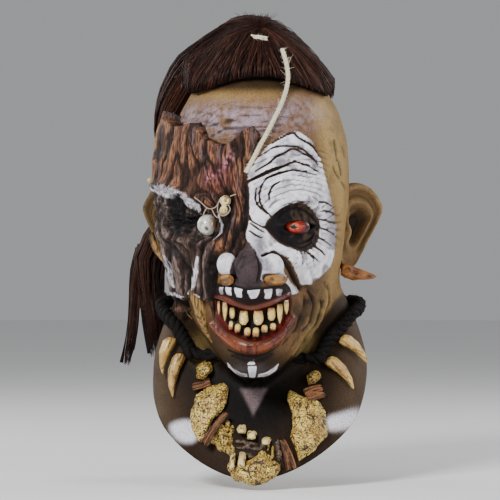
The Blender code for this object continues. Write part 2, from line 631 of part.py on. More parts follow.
def build_relief(name, outline, thickness, finish, trees, flat=False, beside=()):
    """A piece whose back follows what it lies on, or spans it flat, and whose front is a low dome."""
    outline = np.array(outline)
    middle = outline.mean(axis=0)
    spots = np.column_stack([outline, np.ones(len(outline))])
    plane = np.linalg.lstsq(spots, [seat_depth(trees, x, z) for x, z in outline], rcond=None)[0]

    def ring(share, lift):
        points = []
        for x, z in middle + (outline - middle) * share:
            seat = plane @ (x, z, 1) if flat else seat_depth(trees, x, z)
            points.append((x, seat - SEAT_GAP - lift * thickness, z))
        return points

    rings = [ring(0.96, 0.0), ring(1.0, 0.35), ring(0.66, 0.92)]
    if np.ptp(outline, axis=0).max() > FINE_BACK_FROM:
        rings.insert(0, ring(0.5, 0.0))
    bm = tube_bmesh(rings, ring(0.0, 0.0)[0], ring(0.0, 1.0)[0])
    move_clear(bm, [*trees, *beside], (0, -1, 0))
    return object_from_bmesh(name, bm, finish)


def turned_outline(outline, middle, width, height, degrees):
    cos, sin = math.cos(math.radians(degrees)), math.sin(math.radians(degrees))
    points = []
    for wide, tall in outline:
        x, z = wide * width, tall * height
        points.append((middle[0] + x * cos - z * sin, middle[1] + x * sin + z * cos))
    return points


def build_teeth(skin, bark):
    bite_x = BITE_ACROSS * HEAD_WIDTH / 2
    rows = (("upper_tooth", UPPER_TEETH, UPPER_TOOTH_LENGTH, 1),
            ("lower_tooth", LOWER_TEETH, LOWER_TOOTH_LENGTH, -1))
    for name, teeth, full_length, way in rows:
        for number, (place, width, length, drop, shape) in enumerate(teeth, 1):
            x = bite_x + place * MOUTH_WIDTH
            tip = height_at(BITE_DOWN) + SMILE_RISE * (2 * place) ** 2 - drop * full_length
            outline = []
            for wide, tall in TOOTH_OUTLINES[shape]:
                level = tip + way * (1 + tall) * length * full_length
                outline.append((x + wide * width * MOUTH_WIDTH, level))
            build_relief(f"{name}_{number}", outline, TOOTH_THICKNESS, "tooth", [skin], beside=[bark])


def ellipse_outline(x, z, width, height, count=14):
    turns = [2 * math.pi * i / count for i in range(count)]
    return [(x + width / 2 * math.cos(turn), z + height / 2 * math.sin(turn)) for turn in turns]


def build_red_eye(skin):
    x, z = RED_EYE_PLACE[0] * HEAD_WIDTH / 2, height_at(RED_EYE_PLACE[1])
    outline = ellipse_outline(x, z, RED_EYE_WIDTH, RED_EYE_HEIGHT)
    build_relief("red_eye", outline, RED_EYE_BULGE, "red_eye", [skin])


def build_nose_bones(skin):
    for name, side, share in (("nose_bone_left", -1, LEFT_NOSE_BONE_SHARE), ("nose_bone_right", 1, 1.0)):
        outline = ellipse_outline(side * NOSE_BONE_ACROSS * HEAD_WIDTH / 2, height_at(NOSE_BONE_DOWN),
                                  NOSE_BONE_LENGTH * share, NOSE_BONE_HEIGHT, 12)
        build_relief(name, outline, NOSE_BONE_THICKNESS, "bone", [skin])


def build_ball(name, centre, diameter, finish, trees, direction, stretch=(1, 1, 1), rings=8, segments=12):
    """A round bead that starts in its seat and is moved out along one direction until it lies clear."""
    bm = bmesh.new()
    bmesh.ops.create_uvsphere(bm, u_segments=segments, v_segments=rings, radius=diameter / 2)
    bm.transform(Matrix.Translation(centre) @ Matrix.Diagonal((*stretch, 1)))
    move_clear(bm, trees, direction)
    return object_from_bmesh(name, bm, finish)


def build_beads(skin, bark):
    trees = [skin, bark]
    x, z = EYEBALL_PLACE[0] * HEAD_WIDTH / 2, height_at(EYEBALL_PLACE[1])
    start = front_of([skin], x, z)
    build_ball("hanging_eyeball", (x, start - EYEBALL_DIAMETER / 2, z), EYEBALL_DIAMETER, "white_eye", trees,
               (0, -1, 0))
    x, z = BROW_BEAD_PLACE[0] * HEAD_WIDTH / 2, height_at(BROW_BEAD_PLACE[1])
    start = front_of(trees, x, z)
    build_ball("brow_bead", (x, start - BROW_BEAD_DIAMETER * 0.4, z), BROW_BEAD_DIAMETER, "bone", trees,
               (0, -1, 0), stretch=(1.05, 0.8, 1.0), rings=6)
    z = height_at(TEMPLE_BEAD_DOWN)
    place = bark.ray_cast(Vector((-HEAD_WIDTH, BARK_BACK * HEAD_LENGTH * 1.3, z)), Vector((1, 0, 0)))[0]
    centre = (place.x - TEMPLE_BEAD_DIAMETER * 0.4, place.y, z)
    build_ball("temple_bead", centre, TEMPLE_BEAD_DIAMETER, "bone", trees, (-1, 0, 0), rings=6, segments=8)


def horn_bmesh(base, tip, diameter, profile, bend, sides=8):
    """A curved horn with a blunt root; bend is its bow as a share of its length."""
    base, tip = Vector(base), Vector(tip)
    axis = tip - base
    length = axis.length
    axis.normalize()
    side = axis.cross(Vector((0, 1, 0))).normalized()
    depth = axis.cross(side)
    rings = []
    for along, share in profile:
        bow = bend * length * 4 * along * (1 - along)
        centre = base + axis * length * along + side * bow
        ring = []
        for i in range(sides):
            turn = 2 * math.pi * i / sides
            ring.append(centre + (side * math.cos(turn) + depth * math.sin(turn)) * share * diameter / 2)
        rings.append(ring)
    return tube_bmesh(rings, base - axis * diameter * 0.12, tip)


def build_ear_bone(skin):
    """The horn that goes through the lobe and stands out below the ear."""
    z = height_at(EAR_BONE_DOWN)
    y = EAR_BONE_BEHIND * HEAD_LENGTH
    place = skin.ray_cast(Vector((HEAD_WIDTH, y, z)), Vector((-1, 0, 0)))[0]
    base = Vector((place.x, y, z))
    tip = base + Vector((math.cos(EAR_BONE_DROOP), 0, -math.sin(EAR_BONE_DROOP))) * EAR_BONE_LENGTH
    bm = horn_bmesh(base, tip, EAR_BONE_DIAMETER, TUSK_RINGS, -TUSK_CURL / 2)
    move_clear(bm, [skin], (1, 0, 0))
    object_from_bmesh("ear_bone", bm, "bone")


def build_crest(skin):
    """The crest: sections from side to side, each with its sole on the scalp."""
    half_width, half_length = HEAD_WIDTH / 2, HEAD_LENGTH / 2
    rings = []
    for across, front, back, height in CREST_STATIONS:
        x = across * half_width
        sole, crown = [], []
        for step in range(CREST_SPAN_POINTS):
            share = step / (CREST_SPAN_POINTS - 1)
            y = (front + (back - front) * share) * half_length
            place, normal = skin.ray_cast(Vector((x, y, HEAD_HEIGHT)), Vector((0, 0, -1)))[:2]
            rise = CREST_EDGE + (1 - CREST_EDGE) * math.sin(math.pi * share) ** 0.7
            rise *= 1 - 0.45 * share
            sole.append(place + normal * SEAT_GAP * 2)
            crown.append(place + (Vector((0, 0, 0.75)) + normal * 0.35) * rise * height * CREST_HEIGHT * 1.25)
        rings.append(sole + crown[::-1])
    bm = tube_bmesh(rings)
    move_clear(bm, [skin], (0, 0, 1))
    return object_from_bmesh("hair_crest", bm, "hair")


def lock_bmesh(stations):
    """One lock of hair: a tapering tube whose sections stand square to its course."""
    scale = np.array([HEAD_WIDTH / 2, HEAD_LENGTH / 2, -HEAD_HEIGHT, TAIL_DIAMETER / 2])
    rows = smooth_rows(np.array(stations) * scale, [2] * (len(stations) - 1))
    rings = []
    for index, (x, y, z, radius) in enumerate(rows):
        ahead = rows[min(index + 1, len(rows) - 1)] - rows[max(index - 1, 0)]
        course = Vector(ahead[:3]).normalized()
        side = course.cross(Vector((0, 1, 0))).normalized()
        depth = course.cross(side)
        turns = [2 * math.pi * i / LOCK_SIDES for i in range(LOCK_SIDES)]
        centre = Vector((x, y, z + LATEX_WALL))
        rings.append([centre + (side * math.cos(t) + depth * math.sin(t)) * radius for t in turns])
    return tube_bmesh(rings)


def build_tail(trees):
    locks = [lock_bmesh(stations) for stations in TAIL_LOCKS]
    tail = object_from_bmesh("hair_tail", locks[0], "hair")
    apply_boolean(tail, [temporary_object(locks[1])], "UNION")
    bm = bmesh.new()
    bm.from_mesh(tail.data)
    move_clear(bm, trees, (-1, 0.3, 0))
    bm.to_mesh(tail.data)
    bm.free()
    return tail


def tube_object(name, points, diameter, finish, resolution=2):
    """A round cord along a run of points, its ends closed."""
    curve = bpy.data.curves.new(name, "CURVE")
    curve.dimensions = "3D"
    curve.bevel_depth = diameter / 2
    curve.bevel_resolution = resolution
    curve.use_fill_caps = True
    spline = curve.splines.new("POLY")
    spline.points.add(len(points) - 1)
    for point, place in zip(spline.points, points):
        point.co = (*place, 1.0)
    item = bpy.data.objects.new(name, curve)
    curve.materials.append(finish_material(finish))
    bpy.context.collection.objects.link(item)
    return item


def smooth_route(points, spacing):
    """Points about one spacing apart on a smooth curve through the route's own points."""
    rows = smooth_rows(np.array(points, dtype=float), [12] * (len(points) - 1))
    lengths = np.concatenate([[0], np.cumsum(np.linalg.norm(np.diff(rows, axis=0), axis=1))])
    count = max(3, int(round(lengths[-1] / spacing)) + 1)
    wanted = np.linspace(0, lengths[-1], count)
    return np.stack([np.interp(wanted, lengths, rows[:, i]) for i in range(3)], axis=1)


def build_tie(crest):
    points = []
    for across, down in TIE_PLACES:
        x, z = across * HEAD_WIDTH / 2, height_at(down)
        y = seat_depth([crest], x, z) - SEAT_GAP - TIE_DIAMETER * 0.6
        points.append((x, y, z))
    tube_object("crest_tie", smooth_route(points, TIE_DIAMETER * 1.5), TIE_DIAMETER, "jute")


def build_twine():
    points = smooth_route(TWINE_ROUTE, TWINE_DIAMETER * 2.2)
    tube_object("forehead_twine", points, TWINE_DIAMETER, "jute")


def build_rope(trees):
    """The rope: laid round the neck, stopping short of the knuckle bones at the front."""
    half = list(ROPE_ROUTE)
    route = [(-angle, down) for angle, down in half] + [(angle, down) for angle, down in reversed(half[:-1])]
    clear = ROPE_DIAMETER / 2 + SEAT_GAP * 2
    places = []
    for angle, down in route:
        turn = math.radians(angle)
        outward = Vector((math.sin(turn), -math.cos(turn), 0))
        place = outward * HEAD_LENGTH + Vector((0, 0, height_at(down)))
        for _ in range(400):
            if trees[0].find_nearest(place)[3] < clear:
                break
            place -= outward * 0.0005
        places.append(place + outward * 0.0005)
    line = smooth_rows(np.array([tuple(place) for place in places]), [12] * (len(places) - 1))
    kept = []
    for point in line:
        distances = [tree.find_nearest(Vector(point))[3] for tree in trees[1:]]
        if min(distances) > clear:
            kept.append(point)
    points = [Vector(point) for point in smooth_route(kept[::6] + [kept[-1]], ROPE_DIAMETER)]
    for _ in range(ROPE_SETTLING):
        for first, second in zip(points, points[1:]):
            for share in (0.25, 0.5, 0.75):
                spot = first.lerp(second, share)
                nearest, _, _, distance = trees[0].find_nearest(spot)
                push = (spot - nearest).normalized() * max(clear - distance, 0)
                first += push
                second += push
    tube_object("necklace_rope", points, ROPE_DIAMETER, "rope")


def cord_tree(name):
    """The surface of a cord, for the pieces that lie on it."""
    bpy.context.view_layer.update()
    evaluated = bpy.data.objects[name].evaluated_get(bpy.context.evaluated_depsgraph_get())
    mesh = bpy.data.meshes.new_from_object(evaluated)
    bm = bmesh.new()
    bm.from_mesh(mesh)
    tree = BVHTree.FromBMesh(bm)
    bm.free()
    bpy.data.meshes.remove(mesh)
    return tree


def build_tusks(trees):
    for number, (across, down, lean, share) in enumerate(TUSKS, 1):
        length = share * TUSK_LENGTH
        turn = math.radians(lean)
        step = Vector((math.sin(turn), 0, -math.cos(turn)))
        x, z = across * BIB_WIDTH / 2, height_at(down)
        base_y = front_of(trees[:1], x, z) - TUSK_DIAMETER * 0.55
        tip_x, tip_z = x + step.x * length, z + step.z * length
        tip_y = front_of(trees[:1], tip_x * 0.96, tip_z) - TUSK_DIAMETER * 0.25
        bend = TUSK_CURL if lean > 0 else -TUSK_CURL
        bm = horn_bmesh((x, base_y, z), (tip_x, tip_y, tip_z), TUSK_DIAMETER, TUSK_RINGS, bend)
        move_clear(bm, trees, step + Vector((0, -0.8, 0)))
        object_from_bmesh(f"tusk_{number}", bm, "bone")


def build_chest_piece(row, trees):
    name, kind, across, drop, wide, tall, degrees, rests_on = row
    width, height, thickness, outline = SIZES[kind]
    middle = (across * BIB_WIDTH / 2, height_at(1.0) - drop * BIB_DROP)
    points = turned_outline(outline, middle, wide * width, tall * height, degrees)
    seats = [trees["latex_mask"]] + [trees[other] for other in rests_on]
    finish = "leather" if kind == "wrap" else "bone"
    flat = kind in ("wrap", "peg")
    trees[name] = tree_of(build_relief(name, points, thickness, finish, seats, flat=flat))


def main():
    clear_scene()
    rings = skin_rings()
    normals = ring_normals(rings)
    mask = build_latex(rings, normals)
    bark = build_bark(rings, normals)
    skin_tree, bark_tree = tree_of(mask), tree_of(bark)
    build_teeth(skin_tree, bark_tree)
    build_red_eye(skin_tree)
    build_nose_bones(skin_tree)
    build_beads(skin_tree, bark_tree)
    build_ear_bone(skin_tree)
    crest_tree = tree_of(build_crest(skin_tree))
    build_tail([skin_tree, bark_tree, crest_tree])
    build_tie(crest_tree)
    build_twine()
    trees = {"latex_mask": skin_tree}
    for row in CHEST_PIECES:
        build_chest_piece(row, trees)
    build_rope([skin_tree, trees["left_knuckle"], trees["right_knuckle"]])
    build_tusks([skin_tree, cord_tree("necklace_rope")])


main()
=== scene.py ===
# %% [markdown]
# # Dressing a voodoo mask
#
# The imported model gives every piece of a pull-over latex mask at its real size: the hollow head,
# a sheet of bark over half of the face, teeth, eyes, hair and a bone necklace. This lesson gives
# each of them its surface. It goes from the large forms to the small ones, as a mask maker does:
# pour the skin, carve it, glue things on, and paint last.

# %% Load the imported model
import functools
import json
import math

import bmesh
import bpy
import numpy as np
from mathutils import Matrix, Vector
from mathutils.bvhtree import BVHTree

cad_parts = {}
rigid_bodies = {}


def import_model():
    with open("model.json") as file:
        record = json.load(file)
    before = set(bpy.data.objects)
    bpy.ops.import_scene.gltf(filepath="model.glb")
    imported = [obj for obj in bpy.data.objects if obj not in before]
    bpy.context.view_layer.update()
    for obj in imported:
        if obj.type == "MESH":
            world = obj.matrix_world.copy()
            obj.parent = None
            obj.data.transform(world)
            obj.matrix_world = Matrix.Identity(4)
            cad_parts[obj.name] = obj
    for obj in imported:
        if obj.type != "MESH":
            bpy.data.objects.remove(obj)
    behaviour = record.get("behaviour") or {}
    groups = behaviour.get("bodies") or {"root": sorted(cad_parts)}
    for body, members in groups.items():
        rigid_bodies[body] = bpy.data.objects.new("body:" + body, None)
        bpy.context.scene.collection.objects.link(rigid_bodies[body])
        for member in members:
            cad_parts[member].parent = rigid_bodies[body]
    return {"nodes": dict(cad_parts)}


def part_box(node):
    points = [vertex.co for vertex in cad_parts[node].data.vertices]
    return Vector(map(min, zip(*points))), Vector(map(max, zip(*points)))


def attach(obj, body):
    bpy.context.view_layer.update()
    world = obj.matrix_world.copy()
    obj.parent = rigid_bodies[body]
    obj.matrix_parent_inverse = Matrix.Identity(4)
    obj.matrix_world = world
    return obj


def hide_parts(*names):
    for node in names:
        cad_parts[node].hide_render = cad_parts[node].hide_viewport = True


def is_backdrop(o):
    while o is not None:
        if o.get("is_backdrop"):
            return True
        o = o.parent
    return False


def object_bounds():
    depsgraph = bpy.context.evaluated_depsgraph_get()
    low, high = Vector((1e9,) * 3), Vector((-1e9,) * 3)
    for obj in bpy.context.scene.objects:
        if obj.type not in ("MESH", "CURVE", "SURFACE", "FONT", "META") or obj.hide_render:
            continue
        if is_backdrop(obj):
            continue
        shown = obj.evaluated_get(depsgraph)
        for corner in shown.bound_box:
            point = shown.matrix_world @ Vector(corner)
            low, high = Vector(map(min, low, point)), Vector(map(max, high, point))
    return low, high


for item in list(bpy.data.objects):
    bpy.data.objects.remove(item, do_unlink=True)
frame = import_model()
solids = frame["nodes"]
cad_box = [list(corner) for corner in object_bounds()]
bpy.ops.object.select_all(action="DESELECT")
print("solids:", len(solids), "box:", cad_box)

# %% [markdown]
# A few helpers serve the whole lesson. They link a piece to the scene, keep a number for each of
# its points, and at the end paint it and hide the imported solid that it stands for.


# %% Helpers for every piece
def linked(name, data):
    """A new object with this data, in the scene."""
    item = bpy.data.objects.new(name, data)
    bpy.context.collection.objects.link(item)
    return item


def store(mesh, name, values):
    """Keep one number for each point of a mesh under a name."""
    mesh.attributes.new(name, "FLOAT", "POINT").data.foreach_set("value", values.astype(np.float32))


def dress(piece, paint, node=None):
    """Paint a finished piece, tie it to its body and hide the imported solid that it replaces."""
    piece.data.materials.append(paint)
    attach(piece, "root")
    if node:
        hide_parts(node)


def corners_of(node):
    """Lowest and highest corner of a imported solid."""
    return (np.array(corner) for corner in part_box(node))


def directions(line):
    """Unit vectors along a line, one for each of its points."""
    ahead = np.gradient(line, axis=0)
    return ahead / np.linalg.norm(ahead, axis=1, keepdims=True)


print("helpers ready")

# %% [markdown]
# The camera stands where the photographer stood, a little to the mask's left and level with its
# nose. A long lens keeps the face from swelling. The same numbers tell where in the picture any
# point of the mask falls, so a stroke of paint can be given by the pixels that it passes through.

# %% Camera
CAMERA_DISTANCE = 2.6
CAMERA_TURN = math.radians(4)
EYE_LEVEL = -0.175
PIXEL = 0.00093
AXIS_COLUMN = 260
EYE_ROW = 249
PICTURE_SIZE = 500
SENSOR = 36.0

camera = linked("camera", bpy.data.cameras.new("camera"))
camera.data.sensor_width = SENSOR
camera.data.lens = SENSOR * CAMERA_DISTANCE / (PICTURE_SIZE * PIXEL)
across = (PICTURE_SIZE / 2 - AXIS_COLUMN) * PIXEL
camera.location = (
    across * math.cos(CAMERA_TURN) + CAMERA_DISTANCE * math.sin(CAMERA_TURN),
    across * math.sin(CAMERA_TURN) - CAMERA_DISTANCE * math.cos(CAMERA_TURN),
    EYE_LEVEL - (PICTURE_SIZE / 2 - EYE_ROW) * PIXEL,
)
camera.rotation_euler = (math.radians(90), 0, CAMERA_TURN)
bpy.context.scene.camera = camera
print("lens:", round(camera.data.lens, 1), "mm")


def picture_place(points):
    """Column and row in the picture of points given in metres."""
    x, y, z = points[..., 0], points[..., 1], points[..., 2]
    sideways = x * math.cos(CAMERA_TURN) + y * math.sin(CAMERA_TURN)
    depth = CAMERA_DISTANCE - x * math.sin(CAMERA_TURN) + y * math.cos(CAMERA_TURN)
    scale = PIXEL * depth / CAMERA_DISTANCE
    return AXIS_COLUMN + sideways / scale, EYE_ROW - (z - EYE_LEVEL) / scale


def picture_to_space(column, row, depth_y):
    """The point in metres that falls on a pixel and lies at one depth."""
    scale = PIXEL * (CAMERA_DISTANCE + depth_y) / CAMERA_DISTANCE
    sideways = (column - AXIS_COLUMN) * scale
    x = (sideways - depth_y * math.sin(CAMERA_TURN)) / math.cos(CAMERA_TURN)
    return Vector((x, depth_y, EYE_LEVEL + (EYE_ROW - row) * scale))


# %% [markdown]
# A pale floor and large soft lights make an even catalogue picture. The world is nearly white, so
# the glossy eye and the wet lips have something bright to mirror.

# %% Floor and lights
FLOOR_LEVEL = cad_box[0][2] - 0.004
bpy.ops.mesh.primitive_circle_add(vertices=96, radius=6, fill_type="NGON", location=(0, 0, FLOOR_LEVEL))
floor = bpy.context.object
floor.name = "floor"
floor_paint = bpy.data.materials.new("floor_paint")
floor_paint.use_nodes = True
floor_inputs = floor_paint.node_tree.nodes["Principled BSDF"].inputs
floor_inputs["Base Color"].default_value = (0.85, 0.85, 0.85, 1)
floor_inputs["Roughness"].default_value = 0.9
floor.data.materials.append(floor_paint)
floor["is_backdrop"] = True

world = bpy.data.worlds.new("studio")
world.use_nodes = True
sky = world.node_tree.nodes["Background"].inputs
sky["Color"].default_value = (0.97, 0.98, 1.0, 1)
sky["Strength"].default_value = 0.36
bpy.context.scene.world = world

# Columns: name, place, size in metres, watts
LIGHTS = (
    ("key_light", (-0.75, -1.55, 0.85), 0.5, 46),
    ("fill_light", (1.5, -1.0, 0.15), 0.8, 15),
    ("left_rim_light", (-1.3, 0.7, 0.4), 0.7, 9),
    ("right_rim_light", (1.3, 0.8, 0.5), 0.7, 11),
)
for name, place, size, watts in LIGHTS:
    lamp = linked(name, bpy.data.lights.new(name, "AREA"))
    lamp.data.size = size
    lamp.data.energy = watts
    lamp.location = place
    aim = Vector((0, 0, EYE_LEVEL)) - lamp.location
    lamp.rotation_euler = aim.to_track_quat("-Z", "Y").to_euler()
print("lights:", len(LIGHTS))

# %% [markdown]
# Three small helpers do most of the carving. Grain is a smooth random field in space. A stroke is
# how near each point lies to a line drawn in the picture, and a patch is whether it lies inside
# an outline drawn there. Carving and painting both use them, so a wrinkle and its dark paint
# always lie in the same place.


# %% Random grain
def lattice_value(cells, seed):
    """A repeatable random number for each whole cell."""
    mixed = cells[..., 0] * 73856093 ^ cells[..., 1] * 19349663 ^ cells[..., 2] * 83492791 ^ seed * 2654435
    mixed = (mixed ^ (mixed >> 13)) * 1274126177
    return ((mixed ^ (mixed >> 16)) & 0xFFFF) / 65535.0


def grain(points, size, seed=0, stretch=(1, 1, 1)):
    """Smooth noise from 0 to 1; size is that of one lump in metres."""
    scaled = np.asarray(points) / (size * np.array(stretch, dtype=float))
    cell = np.floor(scaled).astype(np.int64)
    part = scaled - cell
    part = part * part * (3 - 2 * part)
    total = np.zeros(scaled.shape[:-1])
    for dx in (0, 1):
        for dy in (0, 1):
            for dz in (0, 1):
                corner = np.array((dx, dy, dz))
                weight = np.prod(np.where(corner == 1, part, 1 - part), axis=-1)
                total += weight * lattice_value(cell + corner, seed)
    return total


def rough_grain(points, size, octaves=3, seed=0, stretch=(1, 1, 1), crests=False):
    """Several sizes of grain laid over each other, from 0 to 1."""
    total, share, full = 0, 1.0, 0
    for octave in range(octaves):
        field = grain(points, size / 2 ** octave, seed + octave, stretch)
        total = total + share * (1 - abs(2 * field - 1) if crests else field)
        full += share
        share *= 0.5
    return total / full


# The same grain as sharp crests between rounded valleys
ridges = functools.partial(rough_grain, crests=True)
print("grain at the head's middle:", round(float(grain(np.zeros(3), 0.01)), 3))


# %% Strokes and patches in the picture
def smooth_line(points, steps=6, closed=False):
    """A smooth curve through a few points, each curve piece cut into steps."""
    points = np.array(points, dtype=float)
    if len(points) < 3:
        return points
    if closed:
        padded = np.vstack([points[-1], points, points[:2]])
    else:
        padded = np.vstack([2 * points[0] - points[1], points, 2 * points[-1] - points[-2]])
    curve = []
    for a, b, c, d in zip(padded, padded[1:], padded[2:], padded[3:]):
        for t in np.arange(steps) / steps:
            bend = (2 * a - 5 * b + 4 * c - d) * t ** 2 + (3 * b - a - 3 * c + d) * t ** 3
            curve.append(0.5 * (2 * b + (c - a) * t + bend))
    if not closed:
        curve.append(points[-1])
    return np.array(curve)


def distance_to_line(column, row, line):
    """Distance in pixels from each point to a line, and how far along it the nearest place is."""
    spot = np.stack([column, row], axis=-1)
    nearest = np.full(column.shape, 1e9)
    along = np.zeros(column.shape)
    for index, (start, end) in enumerate(zip(line, line[1:])):
        step = end - start
        length = max(step @ step, 1e-9)
        t = np.clip(((spot - start) @ step) / length, 0, 1)
        gap = np.linalg.norm(spot - start - t[..., None] * step, axis=-1)
        closer = gap < nearest
        nearest = np.where(closer, gap, nearest)
        along = np.where(closer, (index + t) / (len(line) - 1), along)
    return nearest, along


def stroke(place, points, width, taper=0.5):
    """From 0 to 1: how deep a point lies in a brush stroke; taper thins its two ends."""
    gap, along = distance_to_line(*place, smooth_line(points))
    thin = 1 - taper * abs(2 * along - 1) ** 2
    return np.exp(-(gap / (width * thin)) ** 2)


def strokes(place, lines, width, taper=0.5):
    """Several strokes of one width laid over each other."""
    return sum(stroke(place, line, width, taper) for line in lines)


def blob(place, column, row, wide, tall, power=1.0):
    """A soft round swell in the picture."""
    spread = ((place[0] - column) / wide) ** 2 + ((place[1] - row) / tall) ** 2
    return np.exp(-spread ** power)


def edge_distance(place, points, smooth=True):
    """Signed distance in pixels to a closed outline, positive inside."""
    column, row = place
    line = smooth_line(points, closed=True) if smooth else np.array(points, dtype=float)
    line = np.vstack([line, line[0]])
    gap, _ = distance_to_line(column, row, line)
    inside = np.zeros(column.shape, dtype=bool)
    for (x1, y1), (x2, y2) in zip(line, line[1:]):
        if y1 == y2:
            continue
        crosses = (row > min(y1, y2)) & (row <= max(y1, y2))
        inside ^= crosses & (column < x1 + (row - y1) * (x2 - x1) / (y2 - y1))
    return np.where(inside, gap, -gap)


def step_up(value, low, high):
    """0 below low, 1 above high, smooth between."""
    t = np.clip((value - low) / (high - low), 0, 1)
    return t * t * (3 - 2 * t)


def patch(place, points, soft=1.5, smooth=True):
    """From 0 to 1: whether a point lies inside an outline, with a soft edge."""
    return step_up(edge_distance(place, points, smooth), -soft, soft)


print("strokes and patches ready")


# %% [markdown]
# The skin is a grid of points thrown from the head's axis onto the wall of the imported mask: a fan
# of rays over the crown, then level rows down to the jaw, a short bridge under the jaw, and rows
# down the neck and bib to the rim. The wall is met from inside, so the ears, which get pieces of
# their own, don't stand in the way. Most of the columns are spent on the face.


# %% Trees to measure on
def merged_copy(node):
    """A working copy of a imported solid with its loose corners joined."""
    bm = bmesh.new()
    bm.from_mesh(solids[node].data)
    bmesh.ops.remove_doubles(bm, verts=bm.verts, dist=1e-6)
    return bm


def tree_of(*nodes):
    """One search tree over several solids."""
    joined = bmesh.new()
    for node in nodes:
        joined.from_mesh(solids[node].data)
    tree = BVHTree.FromBMesh(joined)
    joined.free()
    return tree


latex_tree = tree_of("latex_mask")
print("latex tree ready")

# %% Rows and columns of the skin
COLUMNS = 264
FACE_COLUMNS = 192
FACE_TURN = math.radians(62)
HEAD_HALF_WIDTH = 0.083
HEAD_HALF_LENGTH = 0.116
ROUNDNESS = 1.35
RIM_ROUNDNESS = 0.62
FAN_LEVEL = -0.085
# Height of each key row in front, at the side and behind
FAN_ROW = (FAN_LEVEL, FAN_LEVEL, FAN_LEVEL)
JAW_ROW = (-0.2890, -0.2140, -0.2215)
NECK_ROW = (-0.2985, -0.2310, -0.2390)
RIM_ROW = (-0.3812, -0.2813, -0.3190)
FAN_ROWS = (14, 54)
HEAD_ROWS = 186
BRIDGE_ROWS = 9
BIB_ROWS = 46
LATEX_WALL = 0.0025
THICKEST_WALL = 0.007
INSIDE_ROWS = 40

face_turns = np.linspace(-FACE_TURN, FACE_TURN, FACE_COLUMNS)
rest = COLUMNS - FACE_COLUMNS
ease = (np.arange(1, rest + 1) / (rest + 1) * 2 - 1)
ease = 0.45 * ease + 0.55 * np.sign(ease) * (1 - (1 - abs(ease)) ** 2.2)
back_turns = math.pi + ease * (math.pi - FACE_TURN)
turns = np.concatenate([face_turns, back_turns])
level_way = np.stack([HEAD_HALF_WIDTH * np.sin(turns), -HEAD_HALF_LENGTH * np.cos(turns)], axis=1)
level_way /= np.linalg.norm(level_way, axis=1, keepdims=True)


def row_heights(row, roundness=ROUNDNESS):
    """Height of a tilted row at each column."""
    front, side, back = row
    ahead = np.maximum(np.cos(turns), 0) ** roundness
    behind = np.maximum(-np.cos(turns), 0) ** ROUNDNESS
    return side + (front - side) * ahead + (back - side) * behind


def between(row_a, row_b, share):
    """A key row part of the way from one to another."""
    return tuple(a + (b - a) * share for a, b in zip(row_a, row_b))


def outer_hit(origin, way):
    """The outer point of the wall along a ray that starts inside the mask."""
    inner, _, _, _ = latex_tree.ray_cast(origin, way)
    outer, _, _, gap = latex_tree.ray_cast(inner + way * 1e-4, way)
    if outer is None or gap > THICKEST_WALL:
        outer = inner + way * LATEX_WALL
    return outer


def cast_row(heights, rise=0.0):
    """Where the rays of one row come out of the wall."""
    outer_row = []
    for (x, y), height in zip(level_way, heights):
        way = Vector((x * math.cos(rise), y * math.cos(rise), math.sin(rise)))
        outer_row.append(outer_hit(Vector((0, 0, height)), way))
    return np.array(outer_row)


print("columns:", COLUMNS, "of which on the face:", FACE_COLUMNS)

# %% Throw the rays
rises = np.radians(np.concatenate([np.linspace(86, 46, FAN_ROWS[0]), np.linspace(44, 0, FAN_ROWS[1])]))
casts = [cast_row(row_heights(FAN_ROW), rise) for rise in rises]
for share in np.linspace(0, 1, HEAD_ROWS + 1)[1:]:
    casts.append(cast_row(row_heights(between(FAN_ROW, JAW_ROW, share))))
jaw_index = len(casts) - 1
neck = []
for share in np.linspace(0, 1, BIB_ROWS):
    roundness = ROUNDNESS + (RIM_ROUNDNESS - ROUNDNESS) * (0.1 + 0.9 * share)
    neck.append(cast_row(row_heights(between(NECK_ROW, RIM_ROW, share), roundness)))
for share in np.linspace(0, 1, BRIDGE_ROWS + 2)[1:-1]:
    casts.append(casts[jaw_index] * (1 - share) + neck[0] * share)
casts += neck
skin_grid = np.array(casts)
print("skin grid:", skin_grid.shape)


# %% Smooth the facets away
def smooth_grid(grid, passes):
    """Round off a grid that closes on itself sideways; its end rows are rounded sideways alone."""
    grid = grid.copy()
    for _ in range(passes):
        side = (np.roll(grid, 1, axis=1) + np.roll(grid, -1, axis=1)) / 4 + grid / 2
        grid[:] = side
        grid[1:-1] = (side[:-2] + side[2:]) / 4 + side[1:-1] / 2
    return grid


def grid_normals(grid):
    """Outward unit normals of a closed grid."""
    along = np.gradient(grid, axis=0)
    around = (np.roll(grid, -1, axis=1) - np.roll(grid, 1, axis=1)) / 2
    normals = np.cross(along, around)
    normals /= np.maximum(np.linalg.norm(normals, axis=2, keepdims=True), 1e-12)
    outward = grid - grid.mean(axis=1, keepdims=True)
    return normals * np.sign(np.median((normals * outward).sum(axis=2)))


SMOOTHING = 22
plain_skin = smooth_grid(skin_grid, SMOOTHING)
plain_skin = plain_skin + smooth_grid(skin_grid - plain_skin, SMOOTHING)
plain_normals = grid_normals(plain_skin)
face_place = picture_place(plain_skin)
facing = step_up(-plain_skin[..., 1], 0.010, 0.045)
print("plain skin spans", np.round(plain_skin.min(axis=(0, 1)), 3), np.round(plain_skin.max(axis=(0, 1)), 3))

# %% [markdown]
# Carving comes next. On the real mask it is done in clay: lines are pressed in, and the clay
# that they push aside stands up beside them. Each line here is a list of picture pixels, and it
# moves the skin in or out along its own normal by a few tenths of a millimetre to a few millimetres.

